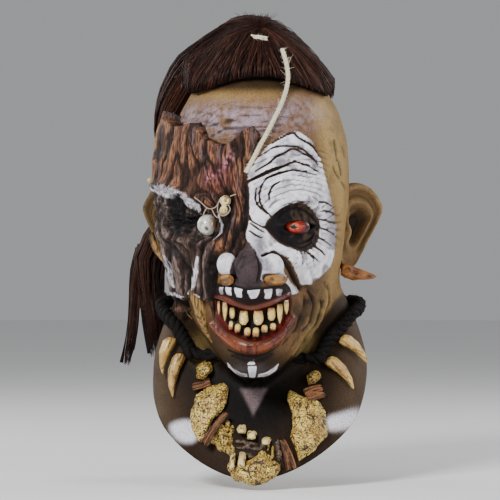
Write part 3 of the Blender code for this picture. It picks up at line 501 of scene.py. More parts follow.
# %% Lines of the face, in picture pixels
FOREHEAD_FURROWS = (
    ((272, 143), (291, 133), (299, 138), (312, 146), (318, 155)),
    ((264, 153), (275, 147), (290, 146), (300, 148), (312, 157), (318, 165)),
    ((255, 171), (267, 164), (277, 156), (284, 153), (293, 149), (304, 154), (314, 160)),
    ((247, 182), (259, 176), (270, 171), (281, 167), (294, 162), (306, 165), (318, 171)),
    ((260, 187), (266, 179), (275, 175), (284, 172), (296, 170), (316, 175)),
)
BROW_FURROWS = (
    ((269, 200), (269, 193), (273, 186), (279, 182)),
    ((256, 188), (255, 198), (258, 206), (267, 214)),
    ((262, 185), (259, 194), (261, 205), (270, 216)),
    ((249, 216), (252, 222), (259, 226), (267, 228)),
    ((250, 224), (256, 229), (264, 232)),
    ((249, 231), (255, 236), (262, 238)),
)
CROWS_FEET = (
    ((316, 203), (324, 202), (331, 206)),
    ((318, 211), (326, 211), (334, 214)),
    ((319, 219), (327, 221), (335, 224)),
    ((318, 227), (326, 230), (334, 234)),
    ((315, 236), (323, 240), (331, 246)),
    ((309, 243), (317, 249), (325, 256)),
    ((302, 250), (311, 256), (319, 262)),
)
LID_FOLDS = (
    ((275, 226), (281, 215), (291, 209), (302, 210), (312, 218), (318, 226)),
    ((279, 233), (287, 241), (298, 244), (308, 240), (314, 233)),
    ((281, 240), (291, 247), (301, 248), (310, 243)),
)
EYE_OPENING = (
    (280.5, 226.5), (285.5, 221), (292, 219), (299, 220), (309, 225), (303, 230), (296, 233), (287, 231.5),
)
EYE_PATCH = (
    (264, 226), (273, 214), (284, 205), (299, 202), (308, 207), (319, 222), (317, 241), (310, 249),
    (299, 252), (291, 249), (282, 246), (272, 237),
)
CHEEK_FOLD = ((262, 256), (270, 254), (280, 257), (288, 266), (293, 277), (299, 288))
MOUTH_FOLDS = (
    ((298, 287), (303, 299), (300, 315), (292, 332), (281, 344)),
    ((305, 290), (311, 303), (308, 320), (299, 338), (288, 350)),
    ((315, 288), (319, 304), (315, 323), (305, 342), (294, 354)),
    ((325, 283), (327, 300), (322, 320), (313, 338)),
)
NOSE_CREASES = (
    ((238, 253), (235, 262), (235, 272), (238, 282)),
    ((255, 254), (258, 263), (258, 272), (256, 281)),
)
MOUTH_OPENING = (
    (217, 298), (227, 302), (238, 306), (250, 309), (262, 307), (275, 302), (287, 296), (291, 299),
    (290, 311), (285, 324), (275, 335), (262, 341), (250, 342), (238, 338), (226, 331), (217, 321),
    (213, 309),
)
UPPER_LIP = ((216, 296), (225, 299), (237, 305), (250, 309), (262, 306), (275, 301), (288, 294))
LOWER_LIP = ((214, 324), (222, 333), (236, 344), (252, 348), (268, 343), (281, 333), (290, 318))
CHIN_CREASES = (
    ((228, 350), (238, 355), (252, 357), (266, 354), (278, 345)),
    ((232, 356), (242, 360), (252, 361), (262, 360), (272, 354)),
)
SCARS = (
    ((334, 140), (336, 152), (337, 161)),
    ((338, 160), (340, 168), (341, 176)),
    ((342, 146), (344, 153), (345, 158)),
    ((333, 166), (335, 172), (339, 179)),
    ((341, 182), (344, 186), (345, 190)),
)
TENDONS = (
    ((322, 300), (318, 318), (308, 338), (296, 356)),
    ((331, 300), (328, 322), (318, 345), (306, 366)),
)
print("lines drawn")

# %% Press the lines in
face_stroke, face_strokes, face_patch, face_blob = (
    functools.partial(rule, face_place) for rule in (stroke, strokes, patch, blob)
)
# A narrow stroke is the groove, and a wider one along the same line is the clay beside it
push = np.zeros(face_place[0].shape)
furrows = face_strokes(FOREHEAD_FURROWS, 1.5)
furrows += face_strokes(BROW_FURROWS, 1.3)
push += 0.0010 * face_strokes(FOREHEAD_FURROWS, 4.2, taper=0.7)
push += 0.0008 * face_strokes(BROW_FURROWS, 3.2, taper=0.7)
push -= 0.0026 * np.clip(furrows, 0, 1)
feet = face_strokes(CROWS_FEET, 1.2)
push += 0.0009 * face_strokes(CROWS_FEET, 2.8) - 0.0018 * np.clip(feet, 0, 1)
print("furrows reach", int((furrows > 0.5).sum()), "points")

# %% Finer wrinkles round the eye
EYE_CENTRE = (297, 228)
column, row = face_place
ring = np.hypot((column - EYE_CENTRE[0]) / 1.15, row - EYE_CENTRE[1])
bearing = np.arctan2(row - EYE_CENTRE[1], column - EYE_CENTRE[0])
waver = 1.1 * (rough_grain(plain_skin, 0.014, 2, 91) - 0.5)
brow_waves = step_up(np.sin(2 * np.pi * (ring / 5.2 + waver)), 0.45, 1.0)
brow_area = step_up(-row, -214, -202) * step_up(row, 140, 160)
brow_area = brow_area * step_up(column, 246, 258) * step_up(-column, -332, -318)
ray_waves = step_up(np.sin(34 * bearing + 5 * waver), 0.5, 1.0)
ray_area = step_up(ring, 19, 24) * step_up(-ring, -44, -34)
ray_area = ray_area * step_up(column, 286, 300) * step_up(row, 196, 210)
bag_waves = step_up(np.sin(2 * np.pi * (ring / 4.4 + waver)), 0.4, 1.0)
bag_area = step_up(ring, 18, 22) * step_up(-ring, -46, -34)
bag_area = bag_area * step_up(row, 240, 250) * step_up(-column, -322, -306)
fine_lines = 0.75 * brow_waves * brow_area + 0.7 * ray_waves * ray_area + 0.55 * bag_waves * bag_area
top_lines = ridges(plain_skin, 0.0032, 2, 95, (9, 3, 1))
top_area = face_blob(232, 124, 62, 18, 1.5)
fine_lines = fine_lines + 0.9 * step_up(top_lines, 0.72, 0.92) * top_area
push -= 0.0008 * fine_lines
print("finer wrinkles on", int((fine_lines > 0.5).sum()), "points")

# %% Open the eye
UPPER_BROW = ((270, 212), (284, 201), (299, 197), (312, 203), (322, 216))
EYE_BAG = ((282, 252), (298, 258), (314, 256), (324, 246))
eye_edge = edge_distance(face_place, EYE_OPENING)
lid = np.exp(-((eye_edge + 2.4) / 2.6) ** 2)
upper_lid = step_up(-row, -EYE_CENTRE[1] - 2, -EYE_CENTRE[1] + 4)
push += (0.0050 + 0.0030 * upper_lid) * lid - 0.0045 * step_up(eye_edge, -0.5, 1.5)
lid_folds = face_strokes(LID_FOLDS, 1.3)
push += 0.0012 * face_strokes(LID_FOLDS, 3.2) - 0.0022 * np.clip(lid_folds, 0, 1)
push += 0.0035 * face_stroke(UPPER_BROW, 5)
push += 0.0016 * face_stroke(EYE_BAG, 6)
print("eye opening covers", int((eye_edge > 0).sum()), "points")

# %% Shape the nose
push += 0.0060 * face_blob(227, 264, 10, 10, 1.6) + 0.0060 * face_blob(271, 264, 10, 10, 1.6)
push += 0.0050 * face_blob(247, 268, 12, 18, 1.6) + 0.0025 * face_blob(253, 235, 7, 18, 1.5)
push -= 0.0040 * face_blob(229, 278, 8, 4, 1.5) + 0.0040 * face_blob(271, 277, 8, 4, 1.5)
nose_creases = face_strokes(NOSE_CREASES, 1.8)
push -= 0.0030 * np.clip(nose_creases, 0, 1)
cheek_fold = face_stroke(CHEEK_FOLD, 2.2, taper=0.3)
push -= 0.0042 * cheek_fold
push += 0.0034 * face_stroke([(x + 9, y - 5) for x, y in CHEEK_FOLD], 7)
push -= 0.0050 * face_blob(213, 262, 6, 12, 1.5)
print("nose stands", round(push.max() * 1000, 1), "mm out")

# %% Open the mouth and roll the lips
LIP_RIDGE = ((214, 290), (232, 290), (250, 293), (268, 293), (284, 290))
mouth_edge = edge_distance(face_place, MOUTH_OPENING)
push -= 0.0034 * step_up(mouth_edge, -0.5, 3.0)
upper_roll = face_stroke(UPPER_LIP, 3.0, taper=0.2)
lower_roll = face_stroke(LOWER_LIP, 5.4, taper=0.35)
push += 0.0026 * upper_roll + 0.0040 * lower_roll
push += 0.0018 * face_stroke(LIP_RIDGE, 5)
lip_lines = ridges(plain_skin, 0.0022, 1, 5, stretch=(1, 8, 8)) - 0.5
push += 0.0008 * lip_lines * np.clip(lower_roll + upper_roll, 0, 1)
wander = 7 * (rough_grain(plain_skin, 0.016, 2, 97) - 0.5)
loose_place = (face_place[0] + wander, face_place[1] + 0.4 * wander)
fold_depth = step_up(rough_grain(plain_skin, 0.011, 2, 99), 0.25, 0.6)
folds = fold_depth * strokes(loose_place, MOUTH_FOLDS, 1.7)
push += 0.0024 * fold_depth * strokes(loose_place, MOUTH_FOLDS, 4.2)
push -= 0.0042 * np.clip(folds, 0, 1)
chin_creases = face_strokes(CHIN_CREASES, 1.6)
push += 0.0028 * face_blob(251, 368, 20, 9) - 0.0022 * np.clip(chin_creases, 0, 1)
print("mouth opening covers", int((mouth_edge > 0).sum()), "points")

# %% Small marks and the life of the surface
scars = face_strokes(SCARS, 1.1)
tendons = face_strokes(TENDONS, 2.4)
push += 0.0016 * tendons - 0.0010 * np.clip(scars, 0, 1)
push *= facing
# Where the skin lies lower than its close and its wider surroundings
cavity = np.clip((smooth_grid(push, 6) - push) / 0.0006, 0, 1)
hollow = np.clip((smooth_grid(push, 60) - push) / 0.0016, 0, 1)
push += 0.0011 * (rough_grain(plain_skin, 0.018, 3, 11) - 0.5)
push += 0.0005 * (ridges(plain_skin, 0.0042, 2, 23) - 0.6)
skin = plain_skin + plain_normals * push[..., None]
print("carving spans", round(push.min() * 1000, 1), "to", round(push.max() * 1000, 1), "mm")

# %% [markdown]
# Paint goes on in thin coats: a brown base, lighter olive tan over the sides of the head, a
# lavender bloom rubbed over the forehead, white warpaint with ragged edges, and black washed into
# each line. Every coat is mixed into one colour for each point of the skin, and the shader breaks
# the edges up with finer grain afterwards.

# %% Colours and outlines of the paint
BROWN = (0.165, 0.092, 0.042)
TAN = (0.45, 0.315, 0.115)
DARK_OLIVE = (0.085, 0.060, 0.028)
DEEP = (0.014, 0.009, 0.006)
INK = (0.008, 0.006, 0.008)
MAUVE = (0.37, 0.30, 0.38)
SLATE = (0.060, 0.044, 0.050)
LIP_ORANGE = (0.22, 0.048, 0.010)
LIP_RED = (0.070, 0.007, 0.004)
BIB_BROWN = (0.022, 0.012, 0.006)
SOCKET_DARK = (
    (164, 186), (182, 190), (198, 199), (216, 204), (226, 213), (227, 224), (222, 235), (210, 243),
    (196, 244), (182, 241), (170, 234), (163, 222),
)
WHITE_FACE = (
    (249, 170), (258, 158), (272, 142), (291, 132), (306, 137), (318, 154), (326, 180), (332, 205),
    (336, 225), (335, 242), (332, 262), (323, 274), (312, 281), (301, 284), (297, 276), (291, 265),
    (283, 257), (281, 262), (284, 274), (290, 283), (298, 291), (290, 294), (280, 288), (270, 279),
    (260, 281), (254, 272), (252, 262), (250, 250), (247, 238), (246, 215), (247, 190),
)
TAN_SIDE = (
    (312, 108), (330, 100), (352, 160), (352, 220), (345, 262), (336, 290), (322, 326), (306, 352),
    (292, 366), (296, 350), (310, 322), (322, 296), (332, 268), (337, 240), (336, 215), (330, 190),
    (323, 160), (318, 130),
)
NOSE_PATCH = ((247, 244), (254, 254), (259, 268), (257, 283), (248, 291), (237, 288), (233, 274), (239, 258))
LIP_BAND = (
    (216, 284), (232, 284), (250, 287), (268, 286), (285, 283), (290, 293), (275, 300), (250, 306),
    (228, 301), (215, 296),
)
# Painted shadow that the bark's raised edge casts on the skin beside it
BARK_EDGE_SHADOW = ((241, 178), (248, 186), (249, 205), (248, 226), (243, 232), (238, 200))
LIP_DABS = (
    ((219.5, 287), (224.5, 287), (224, 295), (220.5, 294)),
    ((226, 286.5), (232.5, 287), (232, 296), (227, 295)),
    ((234.5, 287), (243.5, 288), (242, 298), (236, 297)),
    ((247, 288.5), (259.5, 289), (256, 298), (250, 299)),
    ((262.5, 289), (271.5, 288.5), (270, 299), (264, 299)),
    ((274, 289), (281, 288.5), (280, 296), (275, 296)),
)
CHIN_MARKS = (
    ((227, 362), (234, 368), (241, 371), (247, 371.5), (247, 375.5), (238, 376), (230, 371)),
    ((278, 363), (271, 368), (265, 371), (258, 372), (257, 376), (266, 376.5), (275, 372)),
    ((248.5, 366), (255, 366), (254.5, 382), (249.5, 382)),
    ((248, 359.5), (254, 359.5), (254, 364.5), (248, 364.5)),
)
BIB_BARS = (
    ((170, 425), (184, 420), (198, 424), (196, 440), (184, 443), (173, 436)),
    ((325, 419), (340, 413), (359, 410), (358, 425), (342, 430), (327, 430)),
)
NECK_TRIANGLE = ((240, 389), (267, 389), (253, 415))


def plain_coat(points, colour):
    """One colour for every point."""
    return np.tile(np.array(colour, dtype=float), (*points.shape[:-1], 1))


def lay(coat, colour, amount):
    """Brush one colour over the coat."""
    coat += (np.array(colour) - coat) * np.clip(amount, 0, 1)[..., None]


print("white marks:", len(LIP_DABS) + len(CHIN_MARKS) + len(BIB_BARS))

# %% Brown, tan and mauve on the head
down = np.broadcast_to(np.arange(len(skin))[:, None], push.shape)
on_head = (down <= jaw_index).astype(float)
mottle = rough_grain(plain_skin, 0.012, 3, 31)
speck = rough_grain(plain_skin, 0.0035, 2, 41)
column, row = face_place
coat = plain_coat(skin, BROWN)
lay(coat, TAN, facing * face_patch(TAN_SIDE, 9) * (0.55 + 0.6 * mottle))
lay(coat, TAN, (1 - facing) * (0.15 + 0.6 * mottle) * on_head)
lay(coat, TAN, facing * 0.55 * face_blob(235, 92, 60, 13) * (0.3 + mottle))
lay(coat, DARK_OLIVE, facing * 0.6 * face_blob(332, 150, 12, 50, 1.5) * step_up(mottle, 0.4, 0.7))
lay(coat, DARK_OLIVE, facing * 0.75 * face_blob(318, 310, 10, 45, 1.5) * step_up(mottle, 0.35, 0.7))
bloom = facing * face_blob(232, 120, 66, 17, 1.6)
lay(coat, MAUVE, 0.85 * bloom * step_up(speck + 0.6 * mottle, 0.35, 1.1))
temple_bloom = facing * face_blob(300, 112, 24, 16, 1.5)
lay(coat, MAUVE, 0.55 * temple_bloom * step_up(speck + 0.6 * mottle, 0.4, 1.1))
# Painted shadow along the top of the face, under the hair
lay(coat, DEEP, facing * 0.9 * step_up(-row, -97, -86) * on_head)
print("head coat:", np.round(coat.mean(axis=(0, 1)), 3))

# %% Brown bib, and painted black shadow under the chin
below = step_up(down, jaw_index - 3, jaw_index + 4)
lay(coat, BIB_BROWN, below)
lay(coat, (0.14, 0.095, 0.055), below * 0.55 * step_up(abs(column - 258), 66, 104) * (0.5 + 0.7 * mottle))
# Painted black shadow under the chin and along the jaw
lay(coat, (0.003, 0.002, 0.002), below * facing * 0.97 * face_blob(252, 402, 46, 42, 2.2))
lay(coat, (0.005, 0.004, 0.003), below * facing * 0.75 * face_blob(250, 372, 84, 30, 2.2))
for olive_column, olive_row in ((203, 348), (304, 346)):
    olive = below * facing * face_blob(olive_column, olive_row, 14, 16, 1.5)
    lay(coat, (0.19, 0.14, 0.050), 0.8 * olive * (0.5 + 0.7 * mottle))
lay(coat, (0.17, 0.13, 0.14), 0.8 * below * facing * face_patch(NECK_TRIANGLE, 2.5, smooth=False))
print("bib rows:", int((below[:, 0] > 0.5).sum()))

# %% White warpaint
nostrils = np.maximum(face_blob(227.5, 265, 12.5, 11, 3), face_blob(272, 265, 11.5, 11, 3))
white = on_head * facing * np.maximum(face_patch(WHITE_FACE, 4.5), nostrils)
dabs = facing * on_head * np.clip(sum(face_patch(mark, 1.1, smooth=False) for mark in LIP_DABS), 0, 1)
white = np.maximum(white, dabs)
for mark in CHIN_MARKS:
    white = np.maximum(white, facing * on_head * face_patch(mark, 1.2, smooth=False))
for mark in BIB_BARS:
    sprayed = facing * (1 - on_head) * face_patch(mark, 7.0)
    lay(coat, (0.74, 0.74, 0.82), step_up(sprayed, 0.15, 0.95))
print("white before the wash:", round(100 * float(white.mean()), 1), "% of the points")

# %% Black washed into the lines, and painted shade
face_rows = facing * (down <= jaw_index + 2)
inside_mouth = step_up(mouth_edge, -1.0, 1.0)
# Black paint of the eye patch, the lip band and the mouth, with painted shadow beside the bark, under the
# nose, between the bark and the nose and inside the eye socket
black_paint_and_shade = np.maximum.reduce([
    face_patch(EYE_PATCH, 2.6), 0.93 * face_patch(LIP_BAND, 1.4), inside_mouth, face_blob(213, 260, 9, 16, 2),
    face_patch(BARK_EDGE_SHADOW, 2), 0.9 * face_blob(247, 291, 22, 4.5, 2), 0.9 * face_patch(SOCKET_DARK, 3.0),
])
lines = 0.95 * face_strokes(FOREHEAD_FURROWS + BROW_FURROWS, 1.3)
lines += face_stroke(FOREHEAD_FURROWS[3][:4], 2.6) + 0.75 * fine_lines
lines += 0.85 * feet + 0.2 * nose_creases + 0.75 * lid_folds + 0.4 * scars
lines += face_stroke(CHEEK_FOLD, 2.4, taper=0.2) + 0.9 * folds + 0.75 * chin_creases
lines = np.clip(lines, 0, 1)
nose_patch = face_patch(NOSE_PATCH, 9.0)
chin_shade = face_blob(252, 362, 42, 15, 2) * 0.95
side_shade = face_blob(303, 306, 14, 32, 1.5) * 0.9
lay(coat, DEEP, face_rows * np.maximum(chin_shade, side_shade * step_up(1.1 - mottle, 0.4, 0.75)))
# Painted shadow beside the tip of the hanging root, left of the mouth
lay(coat, DEEP, face_rows * 0.7 * face_blob(213, 345, 16, 26, 1.5))
lay(coat, (0.09, 0.08, 0.095), face_rows * 0.7 * face_blob(250, 372, 30, 7, 1.5) * mottle * 1.6)
lay(coat, SLATE, face_rows * step_up(nose_patch, 0.02, 0.3))
lay(coat, INK, face_rows * 0.6 * nose_patch * step_up(0.5 * speck + 0.5 * mottle, 0.48, 0.62))
# Dark wash in the hollows of the carving, as painted shade
lay(coat, DEEP, on_head * 0.75 * np.maximum(cavity, 0.7 * hollow))
lay(coat, INK, face_rows * black_paint_and_shade)
# Brown painted highlights on the lid bulges inside the black eye patch
lid_highlight = face_patch(EYE_PATCH, 7.0) * (1 - lid_folds)
lid_highlight = lid_highlight * step_up(0.6 * speck + 0.5 * mottle, 0.45, 0.68)
lid_highlight *= step_up(column, 280, 292) * step_up(-eye_edge, 1.5, 4.0)
lay(coat, (0.085, 0.056, 0.033), face_rows * 0.75 * lid_highlight)
lay(coat, INK, face_rows * lines * 0.92)
print("lines cover", round(100 * float((lines > 0.5).mean()), 1), "% of the points")

# %% Red gums and lips
lips = face_rows * np.clip(1.6 * lower_roll - 0.25, 0, 1) * step_up(-mouth_edge, -2.5, 0.5)
lips = np.maximum(lips, face_rows * np.clip(1.5 * upper_roll - 0.3, 0, 1))
gums = face_rows * inside_mouth * np.exp(-((mouth_edge - 2.5) / 3.0) ** 2)
lay(coat, (0.10, 0.008, 0.006), 0.9 * gums)
lay(coat, LIP_RED, lips)
lip_mix = step_up(-mouth_edge, 0.5, 5.0) * step_up(lip_lines + 0.5, 0.35, 0.75)
lay(coat, LIP_ORANGE, lips * lip_mix)
lay(coat, DEEP, lips * 0.7 * step_up(-mouth_edge, 9.0, 14.0))
washed_off = np.clip(black_paint_and_shade * 1.1 + 0.95 * lines + step_up(nose_patch, 0.05, 0.75), 0, 1)
white *= 1 - face_rows * washed_off * (1 - dabs)
white = np.clip(white, 0, 1)
# Greying of the white paint: mottle and a grey edge towards the temple, with painted shade in the hollows and
# beside the bridge of the nose
grime_and_shade = np.clip(0.8 * cavity + 0.75 * hollow + 0.8 * step_up(mottle, 0.5, 0.75), 0, 1)
grime_and_shade = np.maximum(grime_and_shade, 0.8 * step_up(column, 318, 334) * (row < 250))
grime_and_shade = np.maximum(grime_and_shade, 0.75 * face_blob(258, 246, 9, 14, 1.5))
wet = np.clip(lips + 0.35 * face_rows * inside_mouth, 0, 1)
print("white covers", round(100 * float(white.mean()), 1), "% of the points")


# %% Meshes from grids
def grid_object(name, points, faces, values=None, colours=None):
    """A mesh object from points and faces, with number and colour layers for its shader."""
    mesh = bpy.data.meshes.new(name)
    mesh.from_pydata([tuple(point) for point in points], [], faces)
    for kept, numbers in (values or {}).items():
        store(mesh, kept, numbers)
    for kept, numbers in (colours or {}).items():
        full = np.concatenate([numbers, np.ones((len(numbers), 1))], axis=1).astype(np.float32)
        mesh.attributes.new(kept, "FLOAT_COLOR", "POINT").data.foreach_set("color", full.ravel())
    mesh.shade_smooth()
    return linked(name, mesh)


def ring_faces(first, second, count, flip=False):
    """Quads between two rings of equal length; first and second are where they start."""
    faces = []
    for i in range(count):
        j = (i + 1) % count
        face = (first + i, first + j, second + j, second + i)
        faces.append(face[::-1] if flip else face)
    return faces


print("mesh helpers ready")

# %% Outer and inner wall
rows = len(skin)
under_chin = np.arange(jaw_index - 6, jaw_index + BRIDGE_ROWS + 8, 2)
kept_rows = np.unique(np.concatenate([np.linspace(0, rows - 1, INSIDE_ROWS).astype(int), under_chin]))
carved_in = np.clip(-push, 0, None)
for _ in range(rows // INSIDE_ROWS + 2):
    carved_in[1:-1] = np.maximum(carved_in[1:-1], np.maximum(carved_in[:-2], carved_in[2:]))
    beside = np.maximum(np.roll(carved_in, 1, axis=1), np.roll(carved_in, -1, axis=1))
    carved_in = np.maximum(carved_in, beside)
inside = (plain_skin - plain_normals * (LATEX_WALL + carved_in)[..., None])[kept_rows]
points = np.concatenate([
    skin.reshape(-1, 3), inside.reshape(-1, 3), [skin[0].mean(axis=0), inside[0].mean(axis=0)],
])
faces = []
for index in range(rows - 1):
    faces += ring_faces(index * COLUMNS, (index + 1) * COLUMNS, COLUMNS, flip=True)
base = rows * COLUMNS
for index in range(len(kept_rows) - 1):
    faces += ring_faces(base + index * COLUMNS, base + (index + 1) * COLUMNS, COLUMNS)
faces += ring_faces((rows - 1) * COLUMNS, base + (len(kept_rows) - 1) * COLUMNS, COLUMNS, flip=True)
top, under = len(points) - 2, len(points) - 1
faces += [(i, top, (i + 1) % COLUMNS)[::-1] for i in range(COLUMNS)]
faces += [(base + i, under, base + (i + 1) % COLUMNS) for i in range(COLUMNS)]


def on_all(values, inside_value=0.0):
    """Numbers for the outer grid, with one value for the inside."""
    filler = np.full(len(points) - base, inside_value)
    return np.concatenate([values.ravel(), filler])


coat_all = np.concatenate([coat.reshape(-1, 3), np.tile((0.30, 0.24, 0.15), (len(points) - base, 1))])
latex = grid_object(
    "latex_skin", points, faces,
    values={"white": on_all(white), "wet": on_all(wet), "grime_and_shade": on_all(grime_and_shade)},
    colours={"coat": coat_all},
)
print("latex skin:", len(latex.data.polygons), "faces")

# %% [markdown]
# The shaders share a handful of helpers. Each material reads the colours and numbers that were
# stored on the points, and adds only what is finer than the mesh: grit, pores and ragged edges.


# %% Shader helpers
def new_material(name, **surface):
    """A material with its main shader's inputs set by name."""
    material = bpy.data.materials.new(name)
    material.use_nodes = True
    shader = material.node_tree.nodes["Principled BSDF"]
    for key, value in surface.items():
        shader.inputs[key.replace("_", " ")].default_value = value
    return material, material.node_tree, shader


def add_node(tree, kind, inputs=None, **settings):
    """A shader node with its settings; an input is a number, a colour or another node's output."""
    item = tree.nodes.new(kind)
    for name, value in settings.items():
        setattr(item, name, value)
    for name, value in (inputs or {}).items():
        if isinstance(value, bpy.types.NodeSocket):
            tree.links.new(value, item.inputs[name])
        elif isinstance(value, tuple) and len(value) == 3 and isinstance(name, int):
            item.inputs[name].default_value = (*value, 1)
        else:
            item.inputs[name].default_value = value
    return item


def layer(tree, name, output="Fac"):
    """What a mesh stores for each point under this name."""
    return add_node(tree, "ShaderNodeAttribute", attribute_name=name).outputs[output]


def fine_noise(tree, size, detail=4.0, stretch=(1, 1, 1)):
    """Noise from 0 to 1 fixed to the object; size is that of one lump in metres."""
    place = add_node(tree, "ShaderNodeTexCoord").outputs["Object"]
    scale = tuple(1 / value for value in stretch)
    spot = add_node(tree, "ShaderNodeMapping", {"Vector": place, "Scale": scale}).outputs["Vector"]
    noise = add_node(tree, "ShaderNodeTexNoise", {"Vector": spot, "Scale": 0.5 / size, "Detail": detail})
    return noise.outputs["Fac"]


def blend(tree, share, first, second, kind="MIX"):
    """Two colours mixed by a share."""
    mix = add_node(tree, "ShaderNodeMix", {0: share, 6: first, 7: second}, data_type="RGBA", blend_type=kind)
    return mix.outputs[2]


def spread(tree, value, low, high, from_low=0.0, from_high=1.0):
    """A smooth step: from_low below low, from_high above high."""
    settings = {"Value": value, "From Min": low, "From Max": high, "To Min": from_low, "To Max": from_high}
    return add_node(tree, "ShaderNodeMapRange", settings, interpolation_type="SMOOTHSTEP").outputs["Result"]


def reckon(tree, operation, first, second):
    """One sum on two numbers."""
    return add_node(tree, "ShaderNodeMath", {0: first, 1: second}, operation=operation).outputs[0]


def nudged(tree, value, noise, amount):
    """A number moved up and down by noise."""
    swing = reckon(tree, "MULTIPLY", reckon(tree, "SUBTRACT", noise, 0.5), amount)
    return reckon(tree, "ADD", value, swing)


def set_surface(tree, shader, colour=None, roughness=None, height=None, depth=0.0003, **others):
    """Join colour, roughness and a height to the main shader."""
    joins = dict(others)
    if colour is not None:
        joins["Base Color"] = colour
    if roughness is not None:
        joins["Roughness"] = roughness
    if height is not None:
        bump = add_node(tree, "ShaderNodeBump", {"Height": height, "Distance": depth, "Strength": 1.0})
        joins["Normal"] = bump.outputs["Normal"]
    for name, value in joins.items():
        tree.links.new(value, shader.inputs[name])


print("shader helpers ready")

# %% Latex paint
latex_paint, tree, shader = new_material("latex_paint", Coat_Roughness=0.22)
grit = fine_noise(tree, 0.0005, 5.0)
clouds = fine_noise(tree, 0.0035, 5.0)
cloudy = spread(tree, clouds, 0.3, 0.7, 0.0, 0.75)
tinted = blend(tree, cloudy, layer(tree, "coat", "Color"), (0.55, 0.5, 0.45), "OVERLAY")
tinted = blend(tree, spread(tree, grit, 0.35, 0.6, 0.55, 0.0), tinted, (0.25, 0.18, 0.14), "MULTIPLY")
ragged = nudged(tree, layer(tree, "white"), grit, 0.75)
ragged = nudged(tree, ragged, clouds, 0.5)
whitewash = blend(tree, spread(tree, clouds, 0.42, 0.62), (0.80, 0.80, 0.86), (0.58, 0.56, 0.62))
# The white is greyed where mottle and painted shade lie
grime_and_shade_level = nudged(tree, layer(tree, "grime_and_shade"), grit, 0.9)
whitewash = blend(tree, spread(tree, grime_and_shade_level, 0.15, 0.95, 0.0, 0.88), whitewash, (0.15, 0.125, 0.15))
painted = blend(tree, spread(tree, ragged, 0.40, 0.54), tinted, whitewash)
moist = layer(tree, "wet")
gloss = {
    "Coat Weight": spread(tree, moist, 0.2, 0.9, 0.0, 0.22),
    "Specular IOR Level": spread(tree, moist, 0.1, 0.8, 0.09, 0.28),
}
set_surface(tree, shader, painted, spread(tree, moist, 0.2, 0.9, 0.55, 0.16), grit, 0.0004, **gloss)
dress(latex, latex_paint, "latex_mask")
print("latex painted")

# %% [markdown]
# Each ear is a fan of points over its outline. A short table gives how far the ear stands out of
# its own plane from the rolled rim to the cup in its middle.

# %% Ears
EAR_HEIGHT = 0.082
EAR_WIDTH = 0.046
EAR_THICKNESS = 0.010
EAR_FLARE = math.radians(38)
EAR_ROOT = (0.0764, 0.0104, -0.1540)
EAR_OUTLINE = (
    (-0.10, 0.30), (0.08, 0.46), (0.38, 0.50), (0.70, 0.45), (0.92, 0.32), (1.00, 0.22), (0.90, 0.08),
    (0.72, -0.08), (0.55, -0.22), (0.40, -0.36), (0.22, -0.48), (0.02, -0.50), (-0.12, -0.34), (-0.16, 0.00),
)
EAR_MIDDLE = (0.34, 0.02)
# Columns: share of the outline, how far the front stands out in thicknesses
EAR_FRONT = (
    (1.0, -0.25), (0.97, 0.22), (0.92, 0.42), (0.86, 0.30), (0.80, -0.10), (0.72, -0.16), (0.62, 0.16),
    (0.54, 0.24), (0.46, -0.10), (0.36, -0.60), (0.20, -0.85), (0.0, -0.90),
)
EAR_BACK = ((1.0, -0.25), (0.94, -0.55), (0.80, -0.80), (0.42, -1.20), (0.0, -1.35))
EAR_RINGS = 44
EAR_SPOKES = 128
EAR_COAT = (0.17, 0.105, 0.048)
EAR_LIGHT = (0.36, 0.25, 0.12)


